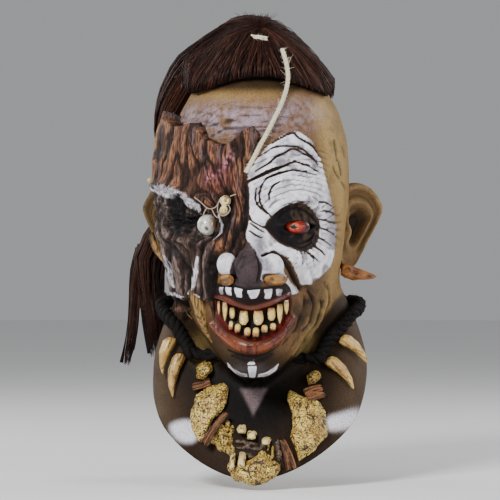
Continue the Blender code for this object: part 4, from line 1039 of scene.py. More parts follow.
def ear_points(side):
    """Front and back of one ear with the coat colour of each point."""
    out = Vector((side * math.cos(EAR_FLARE), math.sin(EAR_FLARE), 0))
    ahead = Vector((side * math.sin(EAR_FLARE), -math.cos(EAR_FLARE), 0))
    root = Vector((side * EAR_ROOT[0], EAR_ROOT[1], EAR_ROOT[2]))
    outline = smooth_line(EAR_OUTLINE, steps=10, closed=True)
    step = np.linspace(0, len(outline), EAR_SPOKES, endpoint=False)
    wide = np.interp(step, np.arange(len(outline) + 1), np.append(outline[:, 0], outline[0, 0]))
    tall = np.interp(step, np.arange(len(outline) + 1), np.append(outline[:, 1], outline[0, 1]))
    shares = np.concatenate([np.linspace(0.02, 1, EAR_RINGS), np.linspace(1, 0.02, EAR_RINGS // 2)[1:]])
    is_back = np.arange(len(shares)) >= EAR_RINGS
    across = EAR_MIDDLE[0] + (wide - EAR_MIDDLE[0]) * shares[:, None]
    up = EAR_MIDDLE[1] + (tall - EAR_MIDDLE[1]) * shares[:, None]
    front = np.interp(shares, *np.array(sorted(EAR_FRONT)).T)[:, None]
    back = np.interp(shares, *np.array(sorted(EAR_BACK)).T)[:, None]
    lobe = np.exp(-((across - 0.20) / 0.30) ** 2 - ((up + 0.36) / 0.13) ** 2)
    tragus = np.exp(-((across - 0.02) / 0.13) ** 2 - ((up + 0.06) / 0.10) ** 2)
    crus = np.exp(-((across - 0.22) / 0.20) ** 2 - ((up - 0.10 - 0.2 * across) / 0.045) ** 2)
    raised = front + (0.10 - front) * np.clip(1.2 * lobe, 0, 1) * (shares[:, None] < 0.93)
    raised = raised + 0.85 * tragus + 0.45 * crus
    lift = np.where(is_back[:, None], back, raised) * EAR_THICKNESS
    points = np.array(root) + across[..., None] * EAR_WIDTH * np.array(out)
    points = points + lift[..., None] * np.array(ahead)
    points[..., 2] += up * EAR_HEIGHT
    points += (rough_grain(points, 0.009, 3, 61)[..., None] - 0.5) * 0.0016 * np.array(ahead)
    ear_coat = plain_coat(points, EAR_COAT)
    worn = np.clip((lift / EAR_THICKNESS) * 2.2, 0, 0.8)
    lay(ear_coat, EAR_LIGHT, worn * rough_grain(points, 0.006, 2, 63) * 1.5)
    # Painted shade: the cup and hollows darken towards black, and the back a little
    lay(ear_coat, DEEP, np.where(is_back[:, None], 0.2, np.clip(-lift / EAR_THICKNESS * 1.25, 0, 0.96)))
    # The left ear is painted darker all over, as painted shade
    if side < 0:
        ear_coat *= 0.45
    return points, ear_coat


print("ear rings:", EAR_RINGS, "spokes:", EAR_SPOKES)

# %% Join both ears
ear_vertices, ear_faces, ear_colours = [], [], []
for side in (-1, 1):
    ear, ear_coat = ear_points(side)
    start = sum(len(part) for part in ear_vertices)
    ear_vertices.append(np.concatenate([ear.reshape(-1, 3), [ear[0].mean(axis=0), ear[-1].mean(axis=0)]]))
    ear_colours.append(np.concatenate([ear_coat.reshape(-1, 3), [DEEP, EAR_COAT]]))
    for ring in range(len(ear) - 1):
        first = start + ring * EAR_SPOKES
        ear_faces += ring_faces(first, first + EAR_SPOKES, EAR_SPOKES, side > 0)
    ends = start + ear.shape[0] * EAR_SPOKES
    for ring, pole, turned in ((0, ends, side > 0), (len(ear) - 1, ends + 1, side < 0)):
        for i in range(EAR_SPOKES):
            corner = start + ring * EAR_SPOKES
            face = (corner + (i + 1) % EAR_SPOKES, corner + i, pole)
            ear_faces.append(face[::-1] if turned else face)
ear_vertices = np.concatenate(ear_vertices)
nothing = np.zeros(len(ear_vertices))
ears = grid_object(
    "ears", ear_vertices, ear_faces, {"white": nothing, "wet": nothing, "grime_and_shade": nothing},
    {"coat": np.concatenate(ear_colours)},
)
dress(ears, latex_paint, "latex_mask")
print("ears:", len(ears.data.polygons), "faces")

# %% [markdown]
# The bark lies on the skin like a thick bandage. Its fibres run down the face and part round the
# eye socket, as water parts round a stone: the formula for that flow gives each point the fibre
# that it lies on, and noise stretched along the fibres gives ropes, cracks and splinters.

# %% Bark outline, in picture pixels
BARK_OUTLINE = (
    (130, 134), (155, 135), (163, 127), (172, 118.5), (183, 126.5), (196, 119.6), (200, 127), (204, 136),
    (213, 141), (222.7, 144), (232, 138.5), (240, 129), (246, 126.5), (252.5, 124), (260.5, 132), (257, 146),
    (252.5, 158), (246, 172), (243, 184), (241.5, 205), (242, 240), (239, 249), (233, 255), (222, 250),
    (213, 257), (211, 264), (212, 278), (213, 292), (211, 301), (203, 303), (196, 300), (187, 301),
    (177, 297), (165, 293), (152, 288), (130, 286),
)
PINK_SMEAR = ((234, 151), (227, 161), (218, 171), (204, 181))
BROW_PAINT = ((163, 187), (171, 190), (184, 195), (198, 206))
SOCKET_OUTLINE = (
    (168, 190), (182, 194), (198, 203), (212, 207), (221, 212), (224, 221), (221, 231), (212, 238),
    (198, 240), (184, 236), (174, 229), (168, 218), (166, 204),
)
SOCKET_SLOT = ((177, 196), (184, 197), (188, 210), (186, 226), (181, 234), (176, 224), (175, 208))
SOCKET_CENTRE = (194, 215)
SOCKET_RADIUS = 27
BARK_BACK_LIMIT = -0.0232
BARK_THIN = 0.0055
BARK_THICK = 0.0165
BARK_GRID = ((40, 250, 0.62), (-30, 118, 0.58))


def resample(grid, row_places, column_places):
    """A finer grid read between the points of a coarser one that closes round the head."""
    row_low = np.floor(row_places).astype(int)
    column_low = np.floor(column_places).astype(int)
    row_part = (row_places - row_low)[:, None, None]
    column_part = (column_places - column_low)[None, :, None]
    a, b = row_low[:, None], (row_low + 1)[:, None]
    c, d = column_low[None] % COLUMNS, (column_low + 1)[None] % COLUMNS
    upper = grid[a, c] * (1 - column_part) + grid[a, d] * column_part
    lower = grid[b, c] * (1 - column_part) + grid[b, d] * column_part
    return upper * (1 - row_part) + lower * row_part


print("bark outline:", len(BARK_OUTLINE), "corners")

# %% Lay the bark on the skin
bark_rows, bark_columns = (np.arange(*span) for span in BARK_GRID)
bark_base = resample(plain_skin, bark_rows, bark_columns)
bark_out = resample(plain_normals, bark_rows, bark_columns)
bark_place = picture_place(bark_base + bark_out * 0.006)
inside_bark = edge_distance(bark_place, BARK_OUTLINE, smooth=False)
bark_depth = bark_base[..., 1]
# Near its back edge the bark is bounded by how far behind the face it reaches, not by the picture
reach = np.minimum(inside_bark + 60, (BARK_BACK_LIMIT - bark_depth) / PIXEL)
inside_bark = np.where(bark_depth > BARK_BACK_LIMIT - 0.012, reach, inside_bark)
back_wear = np.clip(1.6 * rough_grain(bark_base, 0.015, 3, 91, (1, 1, 1.6)) - 0.4, 0, 1)
inside_bark = np.minimum(inside_bark, (BARK_BACK_LIMIT - 0.010 * back_wear - bark_depth) / PIXEL)
inside_socket = edge_distance(bark_place, SOCKET_OUTLINE)
ragged_edge = 2.5 * (rough_grain(bark_base, 0.006, 3, 71, (1, 1, 1.5)) - 0.5)
cover = inside_bark + ragged_edge * 1.6
sunk = step_up(inside_socket + ragged_edge, -2.5, 4.5)

away_x = bark_place[0] - SOCKET_CENTRE[0]
away_y = bark_place[1] - SOCKET_CENTRE[1]
away = np.maximum(np.hypot(away_x, away_y), SOCKET_RADIUS * 0.75)
fibre = away_x * (1 - 0.9 * SOCKET_RADIUS ** 2 / away ** 2) * PIXEL
fibre_way = away_y * (1 + 0.5 * SOCKET_RADIUS ** 2 / away ** 2) * PIXEL
sway = 0.010 * (rough_grain(bark_base, 0.040, 2, 73) - 0.5)
sway = sway + 0.0022 * (rough_grain(bark_base, 0.009, 2, 74) - 0.5)
flow = np.stack([fibre + sway, bark_base[..., 1] * 0.8, fibre_way], axis=-1)
on_sheet = step_up(-bark_place[1] - 0.25 * (bark_place[0] - 200), -208, -180)
big_cracks = step_up(ridges(flow, 0.0105, 1, 75, (1, 2, 6)), 0.78, 0.98) * (1 - 0.75 * on_sheet)
cracks = step_up(ridges(flow, 0.0046, 1, 77, (1, 2, 8)), 0.72, 0.98)
splinters = ridges(flow, 0.0018, 2, 79, (1, 3, 9))
gnarls = ridges(bark_base, 0.0048, 2, 83, (2.2, 1, 1))
knots = rough_grain(bark_base, 0.014, 3, 81)
streaks = rough_grain(flow, 0.0050, 3, 85, (1, 2, 10))
relief = 0.0030 * knots - 0.0026 * big_cracks - 0.0014 * cracks + 0.0015 * splinters
outer_share = np.clip((-bark_base[..., 0] / HEAD_HALF_WIDTH - 0.45) / 0.5, 0, 1)
thickness = BARK_THIN + (BARK_THICK - BARK_THIN) * outer_share - 0.0010 + relief
collar = np.exp(-((inside_socket + 5) / 4) ** 2)
thickness += 0.0030 * collar
slot = patch(bark_place, SOCKET_SLOT, 2.5)
floor_level = 0.0030 + 0.0042 * gnarls - 0.0030 * slot + 0.5 * outer_share * BARK_THICK
thickness = thickness * (1 - sunk) + floor_level * sunk
height = -0.0012 + (thickness + 0.0012) * step_up(cover, -1.2, 3.2)
bark_points = bark_base + bark_out * height[..., None]
print("bark stands", round(height.max() * 1000, 1), "mm high")

# %% Paint the bark
BARK_DEEP = (0.006, 0.003, 0.002)
BARK_MID = (0.085, 0.038, 0.022)
BARK_CREST = (0.26, 0.115, 0.062)
BARK_GREY = (0.115, 0.072, 0.070)
BARK_ASH = (0.060, 0.036, 0.028)
BARK_ASH_CREST = (0.25, 0.185, 0.165)
BARK_PINK = (0.45, 0.17, 0.22)
BARK_TAN = (0.40, 0.225, 0.085)
BARK_WHITE = (0.74, 0.72, 0.78)
# Columns: line, width in pixels
WHITE_STRIPES = (
    (((174, 254), (177, 268), (181, 286)), 1.7),
    (((199, 257), (197, 275), (193, 292)), 1.9),
    (((178, 292), (187, 296)), 1.7),
    (((192, 293), (199, 297)), 1.7),
    (((218, 215), (221, 224), (220, 232), (215, 240)), 1.2),
    (((163, 183), (163, 195), (165, 206)), 1.6),
    (((189, 202), (195, 205), (200, 209)), 3.0),
)
# Ash-coloured bark: round the socket and down the cheek
ASH_AREA = (
    (161, 178), (172, 184), (186, 192), (201, 204), (213, 209), (219, 222), (214, 240), (214, 262),
    (212, 300), (170, 300), (161, 280), (160, 240), (162, 205),
)
column, row = bark_place
crest = 0.35 + 0.65 * splinters + 0.35 * (knots - 0.5) - 0.9 * big_cracks - 0.6 * cracks
bark_coat = plain_coat(bark_points, BARK_MID)
lay(bark_coat, BARK_CREST, step_up(crest, 0.50, 0.95) * 0.95)
lay(bark_coat, BARK_GREY, 0.8 * step_up(streaks, 0.52, 0.66))
lay(bark_coat, BARK_TAN, 0.7 * blob(bark_place, 163, 142, 14, 24, 1.5) * step_up(crest, 0.5, 0.9))
smear = stroke(bark_place, PINK_SMEAR, 5.0, taper=0.4)
lay(bark_coat, (0.17, 0.055, 0.045), 0.7 * blob(bark_place, 220, 178, 17, 17, 2))
lay(bark_coat, BARK_PINK, 0.95 * smear * step_up(rough_grain(bark_base, 0.0024, 2, 89), 0.42, 0.6))
ash = patch(bark_place, ASH_AREA, 4)
lay(bark_coat, BARK_ASH, 0.9 * ash)
lay(bark_coat, BARK_ASH_CREST, 0.9 * ash * step_up(crest, 0.66, 0.98))
cheek_side = step_up(-column, -163, -156) * step_up(row, 160, 180)
lay(bark_coat, BARK_TAN, 0.85 * cheek_side * step_up(crest, 0.1, 0.7))
flakes = step_up(1.15 - gnarls, 0.05, 0.4)
painted_white = 1.1 * stroke(bark_place, BROW_PAINT, 6.0, taper=0.6) * flakes
for line, width in WHITE_STRIPES:
    painted_white = np.maximum(painted_white, 1.1 * stroke(bark_place, line, width, taper=0.3))
painted_white *= step_up(-bark_out[..., 1], 0.1, 0.4)
painted_white = step_up(painted_white + 0.5 * (splinters - 0.6), 0.30, 0.62)
# Painted shade in the sunk eye socket, its slot and the hollow beside the eyeball
lay(bark_coat, BARK_DEEP, 0.95 * sunk * step_up(1.05 - gnarls, 0.16, 0.5))
socket_shade = blob(bark_place, 200, 222, 19, 14, 2) * step_up(1.1 - gnarls, 0.15, 0.4)
lay(bark_coat, BARK_DEEP, 0.98 * np.maximum(slot, socket_shade))
lay(bark_coat, BARK_WHITE, 0.92 * painted_white * (1 - 0.9 * slot))
# Painted shade in the cracks and in the valleys between splinters
lay(bark_coat, BARK_DEEP, 0.97 * np.maximum(big_cracks, 0.85 * cracks) * (1 - 0.7 * painted_white))
lay(bark_coat, BARK_DEEP, 0.75 * step_up(0.42 - splinters, 0.0, 0.22) * (1 - 0.5 * painted_white))
# Painted shadow in the gap between the bark and the nose
lay(bark_coat, BARK_DEEP, 0.97 * blob(bark_place, 212, 276, 7.5, 30, 3))
lay(bark_coat, BARK_DEEP, 0.75 * blob(bark_place, 230, 222, 9, 32, 2) * step_up(0.9 - crest, 0.1, 0.5))
lay(bark_coat, BARK_DEEP, step_up(2.5 - cover, 0, 3) * 0.8)
# Painted shadow, near black, deep in the slot and the hollow
lay(bark_coat, (0.002, 0.001, 0.001), 0.98 * np.maximum(slot, blob(bark_place, 193, 221, 13, 10, 2)))
print("white on", int((painted_white > 0.5).sum()), "points of the bark")

# %% Cut the bark to its outline
kept = cover > -3.0
number = np.arange(kept.size).reshape(kept.shape)
whole = kept[:-1, :-1] | kept[1:, :-1] | kept[:-1, 1:] | kept[1:, 1:]
squares = np.stack([number[:-1, :-1], number[1:, :-1], number[1:, 1:], number[:-1, 1:]], axis=-1)[whole]
used, renamed = np.unique(squares, return_inverse=True)
bark_faces = [tuple(face) for face in renamed.reshape(-1, 4).tolist()]
bark_colours = {"coat": bark_coat.reshape(-1, 3)[used]}
bark = grid_object("bark_sheet", bark_points.reshape(-1, 3)[used], bark_faces, colours=bark_colours)
print("bark:", len(bark.data.polygons), "faces")

# %% [markdown]
# Roots hang from the bark's lower edge over the cheek. Each is a round tube along pixels of the
# picture, thrown onto the skin, thinner towards its tip and grooved along its length.

# %% Roots that hang from the bark
# Columns: the pixels that a root passes, its width in pixels at the top, its colour, how rough it is
ROOTS = (
    (((197, 288), (200, 304), (203, 319), (207, 332), (212, 343)), 8.5, (0.33, 0.205, 0.072), 0.25),
    (((151, 262), (155, 276), (163, 288), (174, 300), (184, 311), (192, 319)), 3.2, (0.34, 0.21, 0.085), 0.7),
    (((178, 290), (186, 302), (193, 315)), 4.5, (0.13, 0.080, 0.040), 1.0),
    (((209, 290), (212, 305), (214, 322)), 3.2, (0.05, 0.028, 0.015), 1.0),
)
ROOT_RINGS = 60
ROOT_SIDES = 20
skin_tree = BVHTree.FromPolygons([tuple(point) for point in points], faces)


def on_skin(column, row):
    """The point of the skin that shows at a pixel, and the skin's direction there."""
    for higher in range(30):
        near, far = (picture_to_space(column, row - higher, depth) for depth in (-0.25, 0.0))
        spot, out, _, _ = skin_tree.ray_cast(near, far - near)
        if spot is not None and spot.y < -0.03:
            return np.array(spot) - (0, 0, higher * PIXEL), np.array(out)
    return np.array(far), np.array((0, -1, 0))


print("roots to hang:", len(ROOTS))

# %% Make the roots
root_points, root_faces, root_coats = [], [], []
for line, width, colour, rough in ROOTS:
    path = smooth_line(line, steps=20)
    path = path[np.linspace(0, len(path) - 1, ROOT_RINGS).astype(int)]
    share = np.linspace(0, 1, ROOT_RINGS)
    radius = width * PIXEL * np.clip(1.05 - share ** 1.6, 0.10, 1) * np.clip(0.75 + 4 * share, 0, 1)
    middle = np.array([on_skin(*place)[0] for place in path])
    for _ in range(6):
        middle[1:-1] = (middle[:-2] + 2 * middle[1:-1] + middle[2:]) / 4
    middle[:, 1] -= radius * 0.75
    turn = 2 * np.pi * np.arange(ROOT_SIDES) / ROOT_SIDES
    ahead = directions(middle)
    side = np.cross(ahead, (0, -1, 0))
    side /= np.linalg.norm(side, axis=1, keepdims=True)
    front = np.cross(side, ahead)
    rim = side[:, None] * np.cos(turn)[:, None] + front[:, None] * np.sin(turn)[:, None]
    spots = middle[:, None] + rim * radius[:, None, None]
    grain_lines = ridges(spots, 0.0022, 2, 131, (1, 1, 7))
    spots = spots + rim * (0.0012 * rough * (grain_lines - 0.6))[..., None]
    root_coat_and_shade = plain_coat(spots, colour)
    lay(root_coat_and_shade, BARK_DEEP, 0.8 * rough * step_up(0.45 - grain_lines, 0.0, 0.2))
    # Painted shade: the top of the root where it leaves the bark, and both sides of the tube
    lay(root_coat_and_shade, BARK_DEEP, 0.8 * step_up(0.2 - share, 0, 0.2)[:, None] * np.ones(spots.shape[:2]))
    lay(root_coat_and_shade, BARK_DEEP, 0.9 * step_up(abs(np.cos(turn)), 0.70, 0.98) * np.ones(spots.shape[:2]))
    start = sum(len(part) for part in root_points)
    root_points.append(np.concatenate([spots.reshape(-1, 3), middle[-1:]]))
    root_coats.append(np.concatenate([root_coat_and_shade.reshape(-1, 3), [colour]]))
    for first in start + np.arange(ROOT_RINGS - 1) * ROOT_SIDES:
        root_faces += ring_faces(int(first), int(first) + ROOT_SIDES, ROOT_SIDES)
    tip = start + ROOT_RINGS * ROOT_SIDES
    last = tip - ROOT_SIDES
    root_faces += [(last + i, last + (i + 1) % ROOT_SIDES, tip) for i in range(ROOT_SIDES)]
root_colours = {"coat": np.concatenate(root_coats)}
roots = grid_object("bark_roots", np.concatenate(root_points), root_faces, colours=root_colours)
print("roots:", len(roots.data.polygons), "faces")

# %% Bark shader
bark_paint, tree, shader = new_material("bark_paint", Specular_IOR_Level=0.14)
fibres = fine_noise(tree, 0.0008, 5.0, (1, 1, 6))
dirt = fine_noise(tree, 0.0022, 4.0)
between_fibres = spread(tree, fibres, 0.36, 0.60, 0.85, 0.0)
tone = blend(tree, between_fibres, layer(tree, "coat", "Color"), (0.12, 0.08, 0.06), "MULTIPLY")
tone = blend(tree, spread(tree, dirt, 0.52, 0.75, 0.0, 0.6), tone, (0.75, 0.66, 0.60), "OVERLAY")
set_surface(tree, shader, tone, spread(tree, dirt, 0.3, 0.7, 0.5, 0.75), fibres, 0.0010)
dress(bark, bark_paint, "bark_plate")
dress(roots, bark_paint, "bark_plate")
print("bark painted")

# %% [markdown]
# Teeth, bones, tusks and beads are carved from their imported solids: each is melted into fine even
# cells, softened, and then pitted or scratched along its length. One function does it for all of
# them, and the tables say how.


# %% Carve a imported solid
def carved(node, cell, soft, relief, seed, paint, packed=True):
    """A detailed piece made from one solid; relief gives depth and darkness for each point."""
    rough = bpy.data.meshes.new(node)
    bm = merged_copy(node)
    bm.to_mesh(rough)
    bm.free()
    block = linked(node + "_block", rough)
    melt = block.modifiers.new("melt", "REMESH")
    melt.mode = "VOXEL"
    melt.voxel_size = cell
    soften = block.modifiers.new("soften", "SMOOTH")
    soften.factor = 0.5
    soften.iterations = soft
    mesh = bpy.data.meshes.new_from_object(block.evaluated_get(bpy.context.evaluated_depsgraph_get()))
    bpy.data.objects.remove(block, do_unlink=True)
    flat = np.empty(len(mesh.vertices) * 3)
    mesh.vertices.foreach_get("co", flat)
    spots = flat.reshape(-1, 3)
    mesh.vertices.foreach_get("normal", flat_normals := np.empty_like(flat))
    out = flat_normals.reshape(-1, 3)
    middle = spots.mean(axis=0)
    _, _, axes = np.linalg.svd(spots - middle, full_matrices=False)
    long_axis = axes[0] * (1 if axes[0][2] >= 0 else -1)
    own = (spots - middle) @ np.stack([long_axis, axes[1], axes[2]]).T
    along = (own[:, 0] - own[:, 0].min()) / np.ptp(own[:, 0])
    depth, dark = relief(own, along, seed)
    spots = spots + out * depth[:, None]
    mesh.vertices.foreach_set("co", spots.ravel())
    store(mesh, "along", along)
    store(mesh, "dark", np.clip(dark, 0, 1))
    mesh.shade_smooth()
    mesh.materials.clear()
    piece = linked(node + "_carved", mesh)
    dress(piece, paint, node if packed else None)
    return piece


# Each rule gives depth in metres and darkness for the points of a piece, from their own places
def tooth_relief(own, along, seed):
    lines = ridges(own, 0.0016, 2, seed, (8, 1, 1))
    return 0.00022 * (lines - 0.5) + 0.0003 * (grain(own, 0.004, seed) - 0.5), 0.35 * lines


def bone_relief(own, along, seed):
    lumps = rough_grain(own, 0.010, 2, seed)
    pits = step_up(ridges(own, 0.0052, 1, seed + 3, (1.6, 1, 1)), 0.90, 0.98)
    stains = step_up(rough_grain(own, 0.012, 3, seed + 5), 0.56, 0.72)
    return 0.0030 * (lumps - 0.5) - 0.0007 * pits, np.maximum(0.8 * pits, 0.42 * stains)


def knuckle_relief(own, along, seed):
    lumps = rough_grain(own, 0.006, 2, seed)
    pits = step_up(ridges(own, 0.0032, 1, seed + 3), 0.84, 0.96)
    return 0.0016 * (lumps - 0.5) - 0.0006 * pits, 0.9 * pits


def tusk_relief(own, along, seed):
    lines = ridges(own, 0.0028, 2, seed, (9, 1, 1))
    return 0.0004 * (lines - 0.5) + 0.0006 * (grain(own, 0.008, seed) - 0.5), step_up(lines, 0.55, 0.9) * 0.6


def jaw_relief(own, along, seed):
    lumps = rough_grain(own, 0.0035, 2, seed)
    return 0.0020 * (lumps - 0.5), step_up(0.45 - lumps, 0.0, 0.2)


def horn_relief(own, along, seed):
    lines = ridges(own, 0.0030, 3, seed, (5, 1, 1))
    return 0.0016 * (lines - 0.6) + 0.0012 * (grain(own, 0.005, seed) - 0.5), 1 - lines


print("carving rules ready")

# %% Tooth and bone paints
def tooth_material(name, light, mid, root, ragged, low, high, grooves=None):
    """Ivory that darkens where a share of its length lies between low and high."""
    material, tree, shader = new_material(name, Coat_Weight=0.7, Coat_Roughness=0.12, Roughness=0.3)
    along, stain = layer(tree, "along"), fine_noise(tree, 0.0012, 4.0)
    ivory = blend(tree, spread(tree, stain, 0.45, 0.75, 0.0, 0.7), light, mid)
    root_end = reckon(tree, "ADD", along, reckon(tree, "MULTIPLY", stain, ragged))
    ivory = blend(tree, spread(tree, root_end, low, high, 0.0, 0.9), ivory, root)
    if grooves:
        ivory = blend(tree, layer(tree, "dark"), ivory, grooves)
    set_surface(tree, shader, ivory, height=stain, depth=0.0001)
    return material


upper_ivory = ((0.80, 0.60, 0.19), (0.52, 0.28, 0.05), (0.16, 0.05, 0.012))
lower_ivory = ((0.76, 0.54, 0.15), (0.46, 0.23, 0.04), (0.20, 0.05, 0.012))
tooth_paint = tooth_material("tooth_paint", *upper_ivory, 0.35, 0.78, 1.15, grooves=(0.40, 0.22, 0.06))
lower_tooth_paint = tooth_material("lower_tooth_paint", *lower_ivory, -0.3, 0.25, -0.1)


def bone_material(name, light, mid, pit, roughness, scribbles, scribble_size):
    """Bone with dark pits; scribbles is how dark its small engraved lines are."""
    material, tree, shader = new_material(name, Roughness=roughness)
    stain, grit = fine_noise(tree, 0.006, 4.0), fine_noise(tree, 0.0007, 5.0)
    base = blend(tree, spread(tree, stain, 0.35, 0.65), light, mid)
    base = blend(tree, spread(tree, grit, 0.54, 0.72, 0.0, 0.45), base, pit)
    worn = nudged(tree, layer(tree, "dark"), grit, 0.8)
    base = blend(tree, spread(tree, worn, 0.28, 0.7, 0.0, 0.93), base, pit)
    scrawl, small = (
        reckon(tree, "ABSOLUTE", reckon(tree, "SUBTRACT", fine_noise(tree, size, 1.0), 0.5), 0.0)
        for size in (scribble_size, scribble_size * 0.5)
    )
    base = blend(tree, spread(tree, small, 0.015, 0.050, scribbles * 0.85, 0.0), base, pit)
    base = blend(tree, spread(tree, scrawl, 0.022, 0.055, scribbles, 0.0), base, pit)
    engraved = spread(tree, scrawl, 0.0, 0.05, 0.0, scribbles)
    dimple = reckon(tree, "ADD", reckon(tree, "MULTIPLY", grit, 0.5), engraved)
    set_surface(tree, shader, base, height=dimple, depth=0.0005)
    return material


# Columns: name, light colour, middle colour, pits, roughness, scribbles, their size in metres
BONE_PAINTS = (
    ("bone", (0.80, 0.57, 0.125), (0.47, 0.28, 0.050), (0.020, 0.007, 0.002), 0.5, 0.97, 0.0015),
    ("tusk", (0.62, 0.41, 0.12), (0.36, 0.20, 0.050), (0.07, 0.028, 0.009), 0.35, 0.0, 0.0016),
    ("amber", (0.52, 0.25, 0.032), (0.30, 0.11, 0.014), (0.05, 0.014, 0.004), 0.3, 0.5, 0.0012),
    ("horn", (0.42, 0.16, 0.035), (0.23, 0.075, 0.015), (0.035, 0.014, 0.006), 0.55, 0.0, 0.0016),
    ("bead", (0.66, 0.50, 0.14), (0.40, 0.25, 0.05), (0.07, 0.028, 0.010), 0.35, 0.0, 0.0016),
    ("cream", (0.80, 0.68, 0.36), (0.60, 0.43, 0.16), (0.08, 0.030, 0.010), 0.35, 0.0, 0.0016),
    ("rib", (0.11, 0.065, 0.036), (0.035, 0.018, 0.010), (0.005, 0.003, 0.002), 0.5, 0.0, 0.0016),
)
bones = {name: bone_material(f"{name}_paint", *look) for name, *look in BONE_PAINTS}
print("bone paints:", ", ".join(bones))

# %% Carve teeth and bones
# Columns: node, cell, softening, relief, paint, slot
CARVINGS = [(f"upper_tooth_{i}", 0.0005, 6, tooth_relief, tooth_paint, "tooth") for i in range(1, 9)]
CARVINGS += [(f"lower_tooth_{i}", 0.0005, 6, tooth_relief, lower_tooth_paint, "tooth") for i in range(1, 7)]
CARVINGS += [(f"tusk_{i}", 0.0008, 12, tusk_relief, bones["tusk"], "bone") for i in range(1, 5)]
CARVINGS += [
    ("nose_bone_left", 0.0006, 6, tusk_relief, bones["amber"], "bone"),
    ("nose_bone_right", 0.0006, 6, tusk_relief, bones["amber"], "bone"),
    ("ear_bone", 0.0006, 6, horn_relief, bones["horn"], "bone"),
    ("temple_bead", 0.0004, 6, tusk_relief, bones["bead"], "bone"),
    ("left_knuckle", 0.0006, 6, knuckle_relief, bones["bone"], "bone"),
    ("right_knuckle", 0.0006, 6, knuckle_relief, bones["bone"], "bone"),
    ("left_bone", 0.0008, 10, bone_relief, bones["bone"], "bone"),
    ("right_bone", 0.0008, 10, bone_relief, bones["bone"], "bone"),
    ("jaw_bone", 0.0007, 8, bone_relief, bones["bone"], "bone"),
    ("jaw_stub", 0.0006, 6, knuckle_relief, bones["bone"], "bone"),
]
CARVINGS += [(f"jaw_tooth_{i}", 0.0005, 9, jaw_relief, bones["cream"], "bone") for i in range(1, 6)]
carvings = {}
for index, (name, cell, soft, rule, paint, slot) in enumerate(CARVINGS):
    carvings[name] = carved(name, cell, soft, rule, 100 + 7 * index, paint)
print("carved", len(carvings), "pieces,", sum(len(item.data.polygons) for item in carvings.values()), "faces")

# %% [markdown]
# The eyes are glass balls. The angle of each point from the way that the eye looks is stored on
# the ball, and the shader turns it into pupil, iris rings and a stained white.


# %% A glass ball
def eyeball(node, centre, radius, gaze, fleck_and_glint, flatten=(1, 1, 1)):
    """A smooth ball with the angle from its gaze and from one more direction stored on it, for a dark fleck
    on one eye and a painted highlight on the other.
    """
    bpy.ops.mesh.primitive_uv_sphere_add(segments=64, ring_count=40, radius=1)
    ball = bpy.context.object
    ball.name = node + "_ball"
    mesh = ball.data
    ways = np.array([vertex.co[:] for vertex in mesh.vertices])
    spots = np.array(centre) + ways * radius * np.array(flatten)
    mesh.vertices.foreach_set("co", spots.ravel())
    for layer_name, way in (("gaze", gaze), ("fleck_and_glint", fleck_and_glint)):
        cosine = ways @ np.array(Vector(way).normalized())
        store(mesh, layer_name, np.degrees(np.arccos(np.clip(cosine, -1, 1))))
    mesh.shade_smooth()
    ball.select_set(False)
    return ball


print("eyeball helper ready")

# %% Red eye
red_low, red_high = corners_of("red_eye")
red_centre = (red_low + red_high) / 2
RED_EYE_RADIUS = (red_high - red_low)[0] / 2
red_shape = np.array((1.0, 0.80, 0.60))
red_centre[0] -= 0.0014
red_centre[1] = red_low[1] + RED_EYE_RADIUS * red_shape[1] + 0.0012
red_eye = eyeball("red_eye", red_centre, RED_EYE_RADIUS, (-0.07, -1, 0.02), (0.07, -1, 0.10), red_shape)
red_glass, tree, shader = new_material(
    "red_glass", Roughness=0.4, Specular_IOR_Level=0.3, Coat_Weight=0.12, Coat_Roughness=0.05)
veins = fine_noise(tree, 0.0009, 5.0)
gaze = nudged(tree, layer(tree, "gaze"), veins, 14.0)
iris = blend(tree, spread(tree, gaze, 16, 28), (0.62, 0.13, 0.05), (0.40, 0.032, 0.012))
iris = blend(tree, spread(tree, gaze, 28, 42), iris, (0.16, 0.008, 0.005))
iris = blend(tree, spread(tree, gaze, 44, 58), iris, (0.02, 0.003, 0.003))
iris = blend(tree, spread(tree, veins, 0.48, 0.62, 0.0, 0.7), iris, (0.10, 0.006, 0.004))
iris = blend(tree, spread(tree, gaze, 17, 12), iris, (0.003, 0.002, 0.002))
# A painted white highlight beside the pupil
iris = blend(tree, spread(tree, layer(tree, "fleck_and_glint"), 4.2, 2.8), iris, (0.75, 0.60, 0.58))
set_surface(tree, shader, iris)
dress(red_eye, red_glass, "red_eye")
print("red eye:", round(RED_EYE_RADIUS * 2000, 1), "mm wide")

# %% Hanging eyeball
white_low, white_high = corners_of("hanging_eyeball")
white_centre = (white_low + white_high) / 2
white_radius = float((white_high - white_low).min() / 2)
white_eye = eyeball("hanging_eyeball", white_centre, white_radius, (1, -0.5, 0.1), (0.02, -1, -0.38))
white_glass, tree, shader = new_material("white_glass", Roughness=0.2, Coat_Weight=1.0, Coat_Roughness=0.05)
stain = fine_noise(tree, 0.0020, 5.0)
fleck_and_glint = nudged(tree, layer(tree, "fleck_and_glint"), stain, 26.0)
side_angle = nudged(tree, layer(tree, "gaze"), stain, 70.0)
pale = blend(tree, spread(tree, stain, 0.42, 0.62), (0.56, 0.57, 0.52), (0.33, 0.32, 0.28))
pale = blend(tree, spread(tree, side_angle, 62, 28), pale, (0.13, 0.06, 0.025))
pale = blend(tree, spread(tree, fleck_and_glint, 17, 8), pale, (0.05, 0.025, 0.015))
set_surface(tree, shader, pale, height=stain, depth=0.0002)
dress(white_eye, white_glass, "hanging_eyeball")
print("hanging eyeball:", round(white_radius * 2000, 1), "mm wide")


# %% [markdown]
# Twine, rope, hair, lashings and wires are all tubes along lines. These helpers cut a route into
# equal lengths, twist plies round it and join any number of tubes into one mesh.


